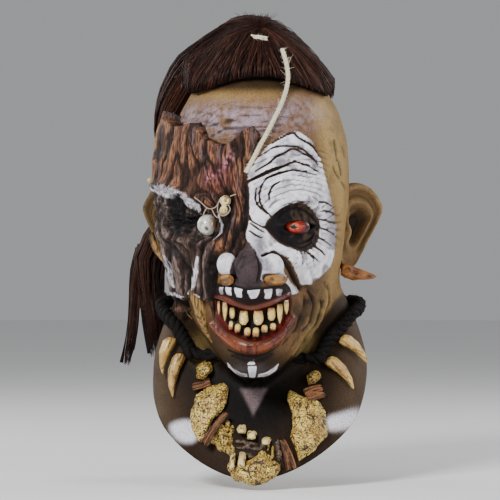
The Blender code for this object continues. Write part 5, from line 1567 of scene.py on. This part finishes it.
# %% Tubes and strands
def tube_mesh(lines, radii, sides):
    """Points and faces of closed tapering tubes: an array of lines, and a radius for each point."""
    lines = np.asarray(lines, dtype=float)
    count, length, _ = lines.shape
    ahead = np.gradient(lines, axis=1)
    ahead /= np.maximum(np.linalg.norm(ahead, axis=2, keepdims=True), 1e-12)
    guide = np.tile((0.31, 0.17, 0.93), (count, length, 1))
    steep = abs((ahead * guide).sum(axis=2, keepdims=True)) > 0.92
    guide = np.where(steep.any(axis=1, keepdims=True), np.array((0.95, 0.2, 0.1)), guide)
    side = np.cross(ahead, guide)
    side /= np.maximum(np.linalg.norm(side, axis=2, keepdims=True), 1e-12)
    up = np.cross(side, ahead)
    turn = 2 * np.pi * np.arange(sides) / sides
    ring = side[:, :, None] * np.cos(turn)[:, None] + up[:, :, None] * np.sin(turn)[:, None]
    spots = lines[:, :, None] + ring * np.asarray(radii)[:, :, None, None]
    number = np.arange(count * length * sides).reshape(count, length, sides)
    following = np.roll(number, -1, axis=2)
    walls = np.stack([number[:, :-1], following[:, :-1], following[:, 1:], number[:, 1:]], axis=-1)
    caps = [tuple(ring_numbers) for ring_numbers in number[:, 0, ::-1].tolist()]
    caps += [tuple(ring_numbers) for ring_numbers in number[:, -1].tolist()]
    return spots.reshape(-1, 3), [tuple(face) for face in walls.reshape(-1, 4).tolist()] + caps


def strand_object(name, groups, shades=None):
    """One mesh of several groups of tubes; each group is lines, radii and number of sides."""
    all_points, all_faces, tones = [], [], []
    start = 0
    for index, (lines, radii, sides) in enumerate(groups):
        spots, faces_here = tube_mesh(lines, radii, sides)
        all_points.append(spots)
        all_faces += [tuple(start + i for i in face) for face in faces_here]
        start += len(spots)
        tone = np.full(len(lines), 0.5) if shades is None else shades[index]
        tones.append(np.repeat(tone, len(spots) // len(lines)))
    return grid_object(name, np.concatenate(all_points), all_faces, {"tone": np.concatenate(tones)})


def even_line(points, count):
    """A smooth route through a few points, cut into equal lengths."""
    curve = smooth_line(points, steps=14)
    lengths = np.concatenate([[0], np.cumsum(np.linalg.norm(np.diff(curve, axis=0), axis=1))])
    wanted = np.linspace(0, lengths[-1], count)
    return np.stack([np.interp(wanted, lengths, curve[:, i]) for i in range(3)], axis=1)


def frame_along(line):
    """Two directions square to a line at each of its points, without sudden turns."""
    ahead = directions(line)
    side = np.cross(ahead[0], (0.2, 0.3, 0.9))
    sides = []
    for way in ahead:
        side = side - way * (side @ way)
        side = side / np.linalg.norm(side)
        sides.append(side)
    sides = np.array(sides)
    return sides, np.cross(ahead, sides)


def plies(line, radius, count, pitch, fill=0.52):
    """The twisted plies of a cord: one line for each ply, and the radius of a ply."""
    side, up = frame_along(line)
    steps = np.linalg.norm(np.diff(line, axis=0), axis=1)
    way = np.concatenate([[0], np.cumsum(steps)])
    lines = []
    for ply in range(count):
        turn = 2 * np.pi * (way / pitch + ply / count)
        lines.append(line + (side * np.cos(turn)[:, None] + up * np.sin(turn)[:, None]) * radius * (1 - fill))
    return np.array(lines), radius * fill


print("tube helpers ready")

# %% [markdown]
# The twine comes out of the crest, lies down the middle of the forehead and goes back into the edge
# of the bark. It is three twisted plies with loose hairs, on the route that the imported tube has.

# %% Forehead twine
TWINE_DIAMETER = 0.0042
TWINE_ROUTE = (
    (0.0246, -0.0690, 0.0060), (0.0285, -0.0745, -0.0060), (0.0308, -0.0822, -0.0190),
    (0.0298, -0.0842, -0.0290), (0.0282, -0.0885, -0.0365), (0.0246, -0.0988, -0.0478),
    (0.0210, -0.1038, -0.0560), (0.0174, -0.1080, -0.0639), (0.0130, -0.1121, -0.0730),
    (0.0084, -0.1165, -0.0818), (0.0040, -0.1212, -0.0910), (-0.0005, -0.1220, -0.0997),
    (-0.0045, -0.1223, -0.1070),
)
dice = np.random.default_rng(7)


def loose_hairs(line, radius, count, reach, thickness):
    """Short curved hairs that stand off a cord."""
    side, up = frame_along(line)
    ahead = directions(line)
    start = dice.integers(1, len(line) - 1, count)
    turn = dice.uniform(0, 2 * np.pi, count)
    out = side[start] * np.cos(turn)[:, None] + up[start] * np.sin(turn)[:, None]
    lean = ahead[start] * dice.uniform(-1.2, 1.2, count)[:, None]
    bend = np.cross(out, ahead[start]) * dice.uniform(-0.6, 0.6, count)[:, None]
    share = np.linspace(0, 1, 5)[None, :, None]
    size = reach * dice.uniform(0.4, 1.0, count)[:, None, None]
    hairs = (line[start] + out * radius * 0.8)[:, None]
    hairs = hairs + size * (share * (out + lean)[:, None] + share ** 2 * bend[:, None])
    taper = np.tile(np.linspace(1, 0.35, 5) * thickness, (count, 1))
    return hairs, taper, 3


twine_line = even_line(TWINE_ROUTE, 110)
ply_lines, ply_radius = plies(twine_line, TWINE_DIAMETER / 2, 3, 0.0105)
groups = [(ply_lines, np.full(ply_lines.shape[:2], ply_radius), 8)]
yarn_tones = [dice.uniform(0.3, 0.7, 3)]
for ply in ply_lines:
    yarns, yarn_radius = plies(ply, ply_radius * 1.12, 7, 0.0060, 0.26)
    groups.append((yarns, np.full(yarns.shape[:2], yarn_radius), 4))
    yarn_tones.append(dice.uniform(0, 1, 7))
groups.append(loose_hairs(twine_line, TWINE_DIAMETER / 2, 260, 0.0026, 0.00008))
yarn_tones.append(dice.uniform(0.4, 1, 260))
twine = strand_object("twine", groups, yarn_tones)
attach(twine, "root")
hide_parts("forehead_twine")


# %% Fibre paint and the longest hairs of the twine
def fibre_material(name, dark, light, roughness=0.75, sheen=0.3, fuzz=0.0006):
    """Strands that run from a dark to a light tone, with fine fuzz."""
    material, tree, shader = new_material(
        name, Roughness=roughness, Sheen_Weight=sheen, Specular_IOR_Level=0.12)
    fuzzy = fine_noise(tree, fuzz, 4.0)
    share = nudged(tree, layer(tree, "tone"), fuzzy, 0.8)
    yarn = blend(tree, spread(tree, share, 0.0, 1.0), dark, light)
    set_surface(tree, shader, yarn, height=fuzzy, depth=0.0002)
    return material


jute_paint = fibre_material("jute_paint", (0.42, 0.34, 0.20), (0.80, 0.73, 0.55))
twine.data.materials.append(jute_paint)
stray_hairs = [loose_hairs(twine_line, TWINE_DIAMETER / 2, 60, 0.0062, 0.00016)]
strays = strand_object("twine_stray_hairs", stray_hairs, [dice.uniform(0.4, 1, 60)])
dress(strays, jute_paint)
print("loose twine hairs:", len(strays.data.polygons), "faces")

# %% [markdown]
# Three loose threads tie the top of the crest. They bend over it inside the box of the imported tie.

# %% Crest tie
TIE_POINTS = 40
TIE_TURNS = 3
tie_low, tie_high = corners_of("crest_tie")
tie_line = even_line((
    (tie_low[0] + 0.001, tie_high[1] - 0.002, tie_high[2] - 0.001),
    ((tie_low[0] + tie_high[0]) / 2, tie_low[1] + 0.001, (tie_low[2] + tie_high[2]) / 2),
    (tie_high[0] - 0.001, tie_high[1] - 0.002, tie_low[2] + 0.001),
), TIE_POINTS)
tie_threads = []
for turn in range(TIE_TURNS):
    drift = 0.0002 * dice.normal(size=(TIE_POINTS, 3)).cumsum(axis=0) * 0.4
    tie_threads.append(tie_line + np.array((0.0002, -0.0002, 0.0010)) * (turn - 1) + drift)
tie_threads = np.array(tie_threads)
groups = [(tie_threads, np.full(tie_threads.shape[:2], 0.0009), 6)]
groups.append(loose_hairs(tie_line, 0.0012, 60, 0.0030, 0.00008))
tie = strand_object("tie_thread", groups, [np.array((0.7, 0.9, 0.8)), dice.uniform(0.5, 1, 60)])
dress(tie, jute_paint, "crest_tie")
print("tie set")

# %% [markdown]
# The hair is combed up from the hairline to the tied top. Each strand starts low on the packed
# crest, runs over its surface towards the knot, and ends there. Under them lies the crest itself,
# dark, so no skin shows between the strands.

# %% Hair crest
HAIR_CENTRE = np.array((0.0, -0.005, -0.045))
KNOT = np.array((0.0035, -0.055, 0.0300))
CREST_REACH = 0.25
CREST_STRANDS = 1900
STRAND_POINTS = 13
STRAND_RADIUS = 0.00042
crest_tree = tree_of("hair_crest")


def crest_surface(way):
    """The point where the crest's outside is met, coming in along a direction, or None."""
    way = Vector(way).normalized()
    start = Vector(HAIR_CENTRE) + way * CREST_REACH
    spot, normal, _, _ = crest_tree.ray_cast(start, -way, CREST_REACH)
    return spot, normal


def hairline(turn):
    """The lowest direction at one turn round the head that still meets the crest."""
    flat = np.array((math.sin(turn), -math.cos(turn), 0.0))
    lowest = None
    for rise in np.radians(np.arange(80, -40, -1.5)):
        way = flat * math.cos(rise) + np.array((0, 0, math.sin(rise)))
        spot, _ = crest_surface(way)
        if spot is not None:
            lowest = rise
    return flat, lowest


edges = [hairline(turn) for turn in np.linspace(-math.pi, math.pi, 97)]
edges = [(flat, low) for flat, low in edges if low is not None]
knot_way = (KNOT - HAIR_CENTRE) / np.linalg.norm(KNOT - HAIR_CENTRE)
strands, tones = [], []
for index in range(CREST_STRANDS):
    place = dice.uniform(0, len(edges) - 1.001)
    first, second = edges[int(place)], edges[int(place) + 1]
    part = place - int(place)
    flat = first[0] * (1 - part) + second[0] * part
    flat /= np.linalg.norm(flat)
    low = first[1] * (1 - part) + second[1] * part
    low += math.radians(dice.uniform(1.0, 3.0 if index % 3 else 30.0))
    start_way = flat * math.cos(low) + np.array((0, 0, math.sin(low)))
    curl = dice.normal() * 0.05
    swing = 0.10 * math.sin(9 * place) + curl
    reach = dice.uniform(0.72, 0.98)
    lift = dice.uniform(-0.0003, 0.0014) + (0.0015 if dice.uniform() > 0.96 else 0)
    line = []
    for share in np.linspace(0, reach, STRAND_POINTS):
        way = start_way * (1 - share) + knot_way * share
        bend = np.cross(start_way, knot_way) * swing * math.sin(math.pi * share) * 0.6
        way = way + bend + np.array((0, 0, 0.08)) * math.sin(math.pi * share)
        spot, normal = crest_surface(way)
        if spot is None:
            break
        clump = 0.0008 * math.sin(60 * place) * math.sin(math.pi * share)
        line.append(np.array(spot) + np.array(normal) * (lift + clump))
    if len(line) == STRAND_POINTS:
        strands.append(line)
        locks = math.sin(23 * place) * math.sin(7 * place)
        tones.append(np.clip(0.5 + 0.5 * locks + dice.normal() * 0.2, 0, 1))
strands, tones = np.array(strands), np.array(tones)
taper = np.concatenate([[0.5], np.ones(STRAND_POINTS - 4), [0.9, 0.7, 0.4]]) * STRAND_RADIUS
radii = taper[None] * dice.uniform(0.6, 1.25, len(strands))[:, None]
print("crest strands:", len(strands))

# %% Tuft over the knot
TUFT_STRANDS = 130
TUFT_TOP = 0.0405
tuft_root = np.array((0.0030, -0.052, 0.0245))
tuft_lines = []
for index in range(TUFT_STRANDS):
    lean = np.array((dice.normal() * 0.40 - 0.05, dice.normal() * 0.35, 1.0))
    size = (TUFT_TOP + 0.003 - tuft_root[2]) * dice.uniform(0.55, 1.0)
    share = np.linspace(0, 1, 7)[:, None]
    droop = np.array((dice.normal() * 0.25, dice.normal() * 0.25, -0.15))
    tuft_lines.append(tuft_root + size * (share * lean + share ** 2 * droop))
tuft_lines = np.array(tuft_lines)
tuft_radii = np.tile(np.linspace(1, 0.3, 7) * 0.00030, (TUFT_STRANDS, 1))
hair_groups = [(strands, radii, 3), (tuft_lines, tuft_radii, 3)]
crest_hair = strand_object("crest_strands", hair_groups, [tones, dice.uniform(0.2, 0.9, TUFT_STRANDS)])
print("tuft strands:", TUFT_STRANDS)


# %% Dark base and paint of the hair
def hair_base(node, shrink, name):
    """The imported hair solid, softened and drawn in, to close the gaps between the strands."""
    mesh = bpy.data.meshes.new(name)
    bm = merged_copy(node)
    bmesh.ops.subdivide_edges(bm, edges=bm.edges, cuts=1, use_grid_fill=True)
    bmesh.ops.smooth_vert(bm, verts=bm.verts, factor=0.5, use_axis_x=True, use_axis_y=True, use_axis_z=True)
    bm.normal_update()
    for vertex in bm.verts:
        vertex.co -= vertex.normal * shrink
    bm.to_mesh(mesh)
    bm.free()
    mesh.materials.clear()
    mesh.shade_smooth()
    return linked(name, mesh)


hair_paint, tree, shader = new_material("hair_paint", Roughness=0.55, Specular_IOR_Level=0.18)
streak = fine_noise(tree, 0.0015, 3.0, (1, 1, 1))
share = nudged(tree, layer(tree, "tone"), streak, 0.6)
hair_tone = blend(tree, spread(tree, share, 0.1, 0.7), (0.006, 0.002, 0.001), (0.030, 0.009, 0.005))
hair_tone = blend(tree, spread(tree, share, 0.7, 1.05), hair_tone, (0.095, 0.033, 0.019))
set_surface(tree, shader, hair_tone)
under_paint, tree, shader = new_material("hair_under_paint", Roughness=0.75, Specular_IOR_Level=0.1)
shader.inputs["Base Color"].default_value = (0.006, 0.0025, 0.0025, 1)
crest_base = hair_base("hair_crest", 0.0012, "crest_base")
dress(crest_hair, hair_paint, "hair_crest")
dress(crest_base, under_paint, "hair_crest")
print("crest hair:", len(crest_hair.data.polygons), "faces")

# %% [markdown]
# The tail hangs down beside one ear in two locks. Each lock is a bundle of strands round a curve
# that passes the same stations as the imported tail.

# %% Hair tail
# Columns: across, behind, down, thickness, as shares of half width, half length, height, lock radius
TAIL_LOCKS = (
    ((-0.62, 0.00, -0.030, 0.80), (-0.80, 0.02, 0.020, 1.05), (-0.92, 0.04, 0.090, 1.15),
     (-1.02, 0.10, 0.155, 1.00), (-1.085, 0.22, 0.240, 0.80), (-1.05, 0.42, 0.345, 0.74),
     (-1.07, 0.53, 0.480, 0.86), (-1.31, 0.535, 0.615, 1.07), (-1.30, 0.52, 0.722, 0.85),
     (-1.28, 0.49, 0.833, 0.70), (-1.25, 0.47, 0.945, 0.42)),
    ((-1.37, 0.545, 0.588, 0.60), (-1.455, 0.535, 0.665, 0.52), (-1.49, 0.52, 0.766, 0.37),
     (-1.52, 0.50, 0.877, 0.30), (-1.58, 0.48, 0.971, 0.18)),
)
HEAD_HEIGHT = 0.297
LOCK_RADIUS = 0.0135
LOCK_STRANDS = (620, 200)
LOCK_POINTS = 22
tail_groups, tail_tones = [], []
for stations, count in zip(TAIL_LOCKS, LOCK_STRANDS):
    rows_here = np.array(stations) * (HEAD_HALF_WIDTH, HEAD_HALF_LENGTH, -HEAD_HEIGHT, LOCK_RADIUS)
    rows_here[:, 2] += LATEX_WALL
    curve = np.array(smooth_line(rows_here, steps=12))
    pick = np.linspace(0, len(curve) - 1, LOCK_POINTS)
    course = np.stack([np.interp(pick, np.arange(len(curve)), curve[:, i]) for i in range(4)], axis=1)
    side, up = frame_along(course[:, :3])
    angle = dice.uniform(0, 2 * np.pi, count)[:, None]
    share = np.linspace(0, 1, LOCK_POINTS)[None]
    swirl = angle + dice.normal(size=(count, 1)) * 0.5 * share + 0.8 * np.sin(3.2 * share + 2 * angle)
    spread_out = dice.uniform(0.45, 1.0, count)[:, None] ** 0.6
    spread_out = spread_out + 0.05 * np.sin(11 * share + 5 * angle)
    away_radius = course[None, :, 3] * spread_out
    lines_here = course[None, :, :3] + away_radius[..., None] * (
        side[None] * np.cos(swirl)[..., None] + up[None] * np.sin(swirl)[..., None])
    wander = 0.0010 * np.sin(share * dice.uniform(4, 14, (count, 1)) + dice.uniform(0, 6, (count, 1)))
    lines_here[..., 0] += wander * share
    ends = dice.uniform(0.88, 1.0, count)[:, None, None]
    root = lines_here[:, :1]
    lines_here = root + (lines_here - root) * np.where(share[..., None] > 0.9, ends, 1)
    thin = np.interp(share[0], (0, 0.05, 0.75, 1), (0.5, 1, 1, 0.3)) * 0.00036
    tail_groups.append((lines_here, np.tile(thin, (count, 1)) * dice.uniform(0.6, 1.2, (count, 1)), 3))
    tail_tones.append(np.clip(0.45 + 0.4 * np.sin(3 * angle[:, 0]) + dice.normal(size=count) * 0.2, 0, 1))
tail_hair = strand_object("tail_strands", tail_groups, tail_tones)
tail_base = hair_base("hair_tail", 0.0042, "tail_base")
dress(tail_hair, hair_paint, "hair_tail")
dress(tail_base, under_paint, "hair_tail")
print("tail hair:", len(tail_hair.data.polygons), "faces")

# %% [markdown]
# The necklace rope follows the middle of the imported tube. The middle is found by averaging the
# tube's points in slices round the neck.

# %% Necklace rope
ROPE_SLICES = 72
ROPE_STRANDS = 3
ROPE_PITCH = 0.021
rope_points = np.array([vertex.co[:] for vertex in solids["necklace_rope"].data.vertices])
turn = np.arctan2(rope_points[:, 0], -rope_points[:, 1])
slices = np.floor((turn + np.pi) / (2 * np.pi) * ROPE_SLICES).astype(int) % ROPE_SLICES
centres = np.array([rope_points[slices == index].mean(axis=0) for index in np.unique(slices)])
rope_curve = smooth_line(centres, steps=5, closed=True)
for _ in range(6):
    rope_curve = (np.roll(rope_curve, 1, axis=0) + 2 * rope_curve + np.roll(rope_curve, -1, axis=0)) / 4
rope_curve = np.vstack([rope_curve, rope_curve[0]])
nearest = np.linalg.norm(rope_points[:, None] - rope_curve[None, ::4], axis=2).min(axis=1)
rope_radius = float(np.median(nearest))
rope_lines, strand_radius = plies(rope_curve, rope_radius, ROPE_STRANDS, ROPE_PITCH)
rope_groups = [(rope_lines, np.full(rope_lines.shape[:2], strand_radius * 0.96), 10)]
rope_tones = [np.full(ROPE_STRANDS, 0.3)]
for strand in rope_lines:
    yarns, yarn_radius = plies(strand, strand_radius * 1.06, 9, 0.011, 0.22)
    rope_groups.append((yarns, np.full(yarns.shape[:2], yarn_radius), 4))
    rope_tones.append(dice.uniform(0, 1, 9))
rope_groups.append(loose_hairs(rope_curve, rope_radius, 700, 0.0040, 0.00009))
rope_tones.append(dice.uniform(0.2, 0.9, 700))
rope = strand_object("rope_strands", rope_groups, rope_tones)
rope_paint = fibre_material("rope_paint", (0.002, 0.002, 0.002), (0.012, 0.008, 0.006), sheen=0.0)
dress(rope, rope_paint, "necklace_rope")
print("rope:", round(rope_radius * 2000, 1), "mm thick,", len(rope.data.polygons), "faces")

# %% [markdown]
# The leather lashings are bundles of rough strips. Each bundle follows the long axis of its packed
# solid, with a few strips side by side that twist a little.


# %% Leather wraps
WRAP_STRIPS = 8
# For each wrap: how the strips fan out towards their lower or right end, and their bow in metres
WRAP_SHAPES = ((0.1, 0.0008), (0.35, -0.0016), (0.5, 0.0010), (0.1, -0.0008))


def wrap_strips(node, seed, fan, bow):
    spots = np.array([vertex.co[:] for vertex in solids[node].data.vertices])
    middle = spots.mean(axis=0)
    _, _, axes = np.linalg.svd(spots - middle, full_matrices=False)
    axes[0] *= -np.sign(axes[0][2]) if abs(axes[0][2]) > 0.6 else np.sign(axes[0][0])
    axes[1] *= np.sign(axes[1][0] - axes[1][2])
    own = (spots - middle) @ axes.T
    low, high = own.min(axis=0), own.max(axis=0)
    lines, sizes = [], []
    rough = np.random.default_rng(seed)
    for depth in (-0.55, 0.55):
        for strip in range(WRAP_STRIPS):
            share = (strip + 0.5) / WRAP_STRIPS * 2 - 1
            t = np.linspace(0, 1, 15)
            wobble = rough.normal(size=2) * 0.10
            flat = np.stack([
                low[0] + (high[0] - low[0]) * (0.04 + 0.92 * t) * rough.uniform(0.94, 1.0),
                (low[1] + high[1]) / 2 + bow * np.sin(np.pi * t) + (high[1] - low[1]) / 2 * 0.85 * (
                    share * (1 - fan + 1.3 * fan * t) + 1.5 * wobble[0] * np.sin(4 * t + strip)),
                (low[2] + high[2]) / 2 + (high[2] - low[2]) / 2 * 0.60 * (depth + wobble[1] * np.sin(7 * t)),
            ], axis=1)
            lines.append(middle + flat @ axes)
            size = (high[1] - low[1]) / 2 / WRAP_STRIPS * rough.uniform(0.9, 1.6)
            sizes.append(np.interp(t, (0, 0.08, 0.92, 1), (0.5, 1, 1, 0.5)) * size)
    lines = np.array(lines)
    groups = [(lines, np.array(sizes), 7)]
    fuzz = [loose_hairs(line, sizes[0][7], 26, 0.0022, 0.00010) for line in lines]
    groups += fuzz
    tones = [rough.uniform(0, 1, len(lines))] + [rough.uniform(0.3, 1, 26) for _ in fuzz]
    return groups, tones


print("strips in a wrap:", 2 * WRAP_STRIPS)

# %% Tie the wraps
leather_paint, tree, shader = new_material("leather_paint", Roughness=0.6, Specular_IOR_Level=0.3)
scuff, grain_lines = fine_noise(tree, 0.0015, 5.0), fine_noise(tree, 0.0005, 4.0)
share = reckon(tree, "ADD", layer(tree, "tone"), reckon(tree, "SUBTRACT", scuff, 0.5))
leather = blend(tree, spread(tree, share, 0.1, 0.9), (0.040, 0.014, 0.006), (0.25, 0.105, 0.040))
leather = blend(tree, spread(tree, grain_lines, 0.5, 0.7, 0.0, 0.6), leather, (0.020, 0.008, 0.004))
set_surface(tree, shader, leather, height=grain_lines, depth=0.0004)
for index in range(1, 5):
    name = f"leather_wrap_{index}"
    groups, tones = wrap_strips(name, 200 + index, *WRAP_SHAPES[index - 1])
    wrap = strand_object(f"{name}_strips", groups, tones)
    dress(wrap, leather_paint, name)
print("wraps tied")

# %% [markdown]
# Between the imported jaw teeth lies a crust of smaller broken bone. It is a heap of lumps, each
# given by its pixel and its size in pixels, melted together and pitted like the other bones.

# %% Jaw crust
# Columns: column, row, half width, half height
CRUST_LUMPS = (
    (216, 441, 6, 6), (221, 433, 4.5, 8), (222, 446, 7, 7), (229, 450, 6, 6), (230, 440, 3, 8),
    (227, 427, 2.2, 6), (232, 431, 2.6, 5), (231, 468, 4, 6), (238, 476, 7, 6), (247, 474, 8, 9),
    (256, 470, 8, 10), (265, 468, 7, 11), (274, 468, 7, 7), (252, 481, 8, 5), (262, 478, 8, 5),
    (270, 474, 7, 6), (262, 456, 4, 5), (267, 460, 4, 6), (254, 461, 4, 4), (246, 465, 3.5, 4),
    (272.5, 452, 2, 7), (266, 440.5, 5, 3.2), (268, 447, 1.6, 5),
)
RIB_LUMPS = (
    (240, 442, 6, 2.2), (250, 444, 7, 2.4), (243, 448, 8, 2.2), (256, 449, 6, 2.4), (245, 454, 7, 2.0),
    (263, 446, 3, 3), (277, 446, 3, 7), (279, 456, 3, 6), (251, 457, 4, 2),
)
BEAD_LOBES = ((224.6, 200.6, 5.8, 5.4), (223.4, 210.4, 4.4, 4.6))
CRUST_STANDS = 0.0042


def melted(name, lumps, stands, relief, seed, paint, depth=None):
    """Lumps at pixels on the skin, or at one depth, melted into one carved piece."""
    heap = bmesh.new()
    for column, row, wide, tall in lumps:
        spot = on_skin(column, row)[0] if depth is None else picture_to_space(column, row, depth)
        size = Vector((wide * PIXEL, stands + 0.25 * stands * math.sin(column), tall * PIXEL))
        for corner in bmesh.ops.create_icosphere(heap, subdivisions=2, radius=1.0)["verts"]:
            corner.co = Vector(spot) + corner.co * size
    mesh = bpy.data.meshes.new(name)
    heap.to_mesh(mesh)
    heap.free()
    solids[name] = linked(name, mesh)
    piece = carved(name, 0.0005, 3, relief, seed, paint, packed=False)
    bpy.data.objects.remove(solids[name], do_unlink=True)
    print(name, len(piece.data.polygons), "faces")
    return piece


melted("jaw_crust", CRUST_LUMPS, CRUST_STANDS, bone_relief, 900, bones["bone"])
melted("jaw_ribs", RIB_LUMPS, CRUST_STANDS * 0.7, knuckle_relief, 907, bones["rib"])
bead_low, bead_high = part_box("brow_bead")
bead_depth = (bead_low[1] + bead_high[1]) / 2
knot = melted("knot_bead", BEAD_LOBES, 0.0046, tusk_relief, 914, bones["cream"], bead_depth)
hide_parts("brow_bead")

# %% [markdown]
# Thin wires hold the bead and the eyeball. Each follows pixels of the picture at one depth.

# %% Wires
WIRES = (
    ((193.5, 197), (200, 202), (206.3, 207.8), (211.3, 208.7), (215.9, 206.2), (219.5, 199)),
    ((206.3, 207.8), (203.8, 212), (202.6, 216)),
    ((217.5, 203.5), (217, 207), (217.6, 212), (222, 215.9), (227, 213.8), (229.6, 209.5), (228, 205.2)),
    ((229.5, 196.3), (235.5, 194.2)),
    ((211.3, 209.5), (215, 216.1), (219.6, 218.6)),
)
WIRE_DEPTH = -0.1235
WIRE_RADIUS = 0.00055
wire_groups = []
for line in WIRES:
    spots = [picture_to_space(column, row, WIRE_DEPTH) for column, row in line]
    path = even_line([tuple(spot) for spot in spots], 26)
    wire_groups.append((path[None], np.full((1, 26), WIRE_RADIUS), 6))
wires = strand_object("eye_wires", wire_groups)
wire_paint, tree, shader = new_material("wire_paint", Roughness=0.4)
shader.inputs["Base Color"].default_value = (0.30, 0.22, 0.16, 1)
dress(wires, wire_paint)
print("wires bent")

# %% Size and finish
size = {"cad": cad_box, "dressed": [list(corner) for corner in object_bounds()]}
print("dressed box:", size["dressed"])
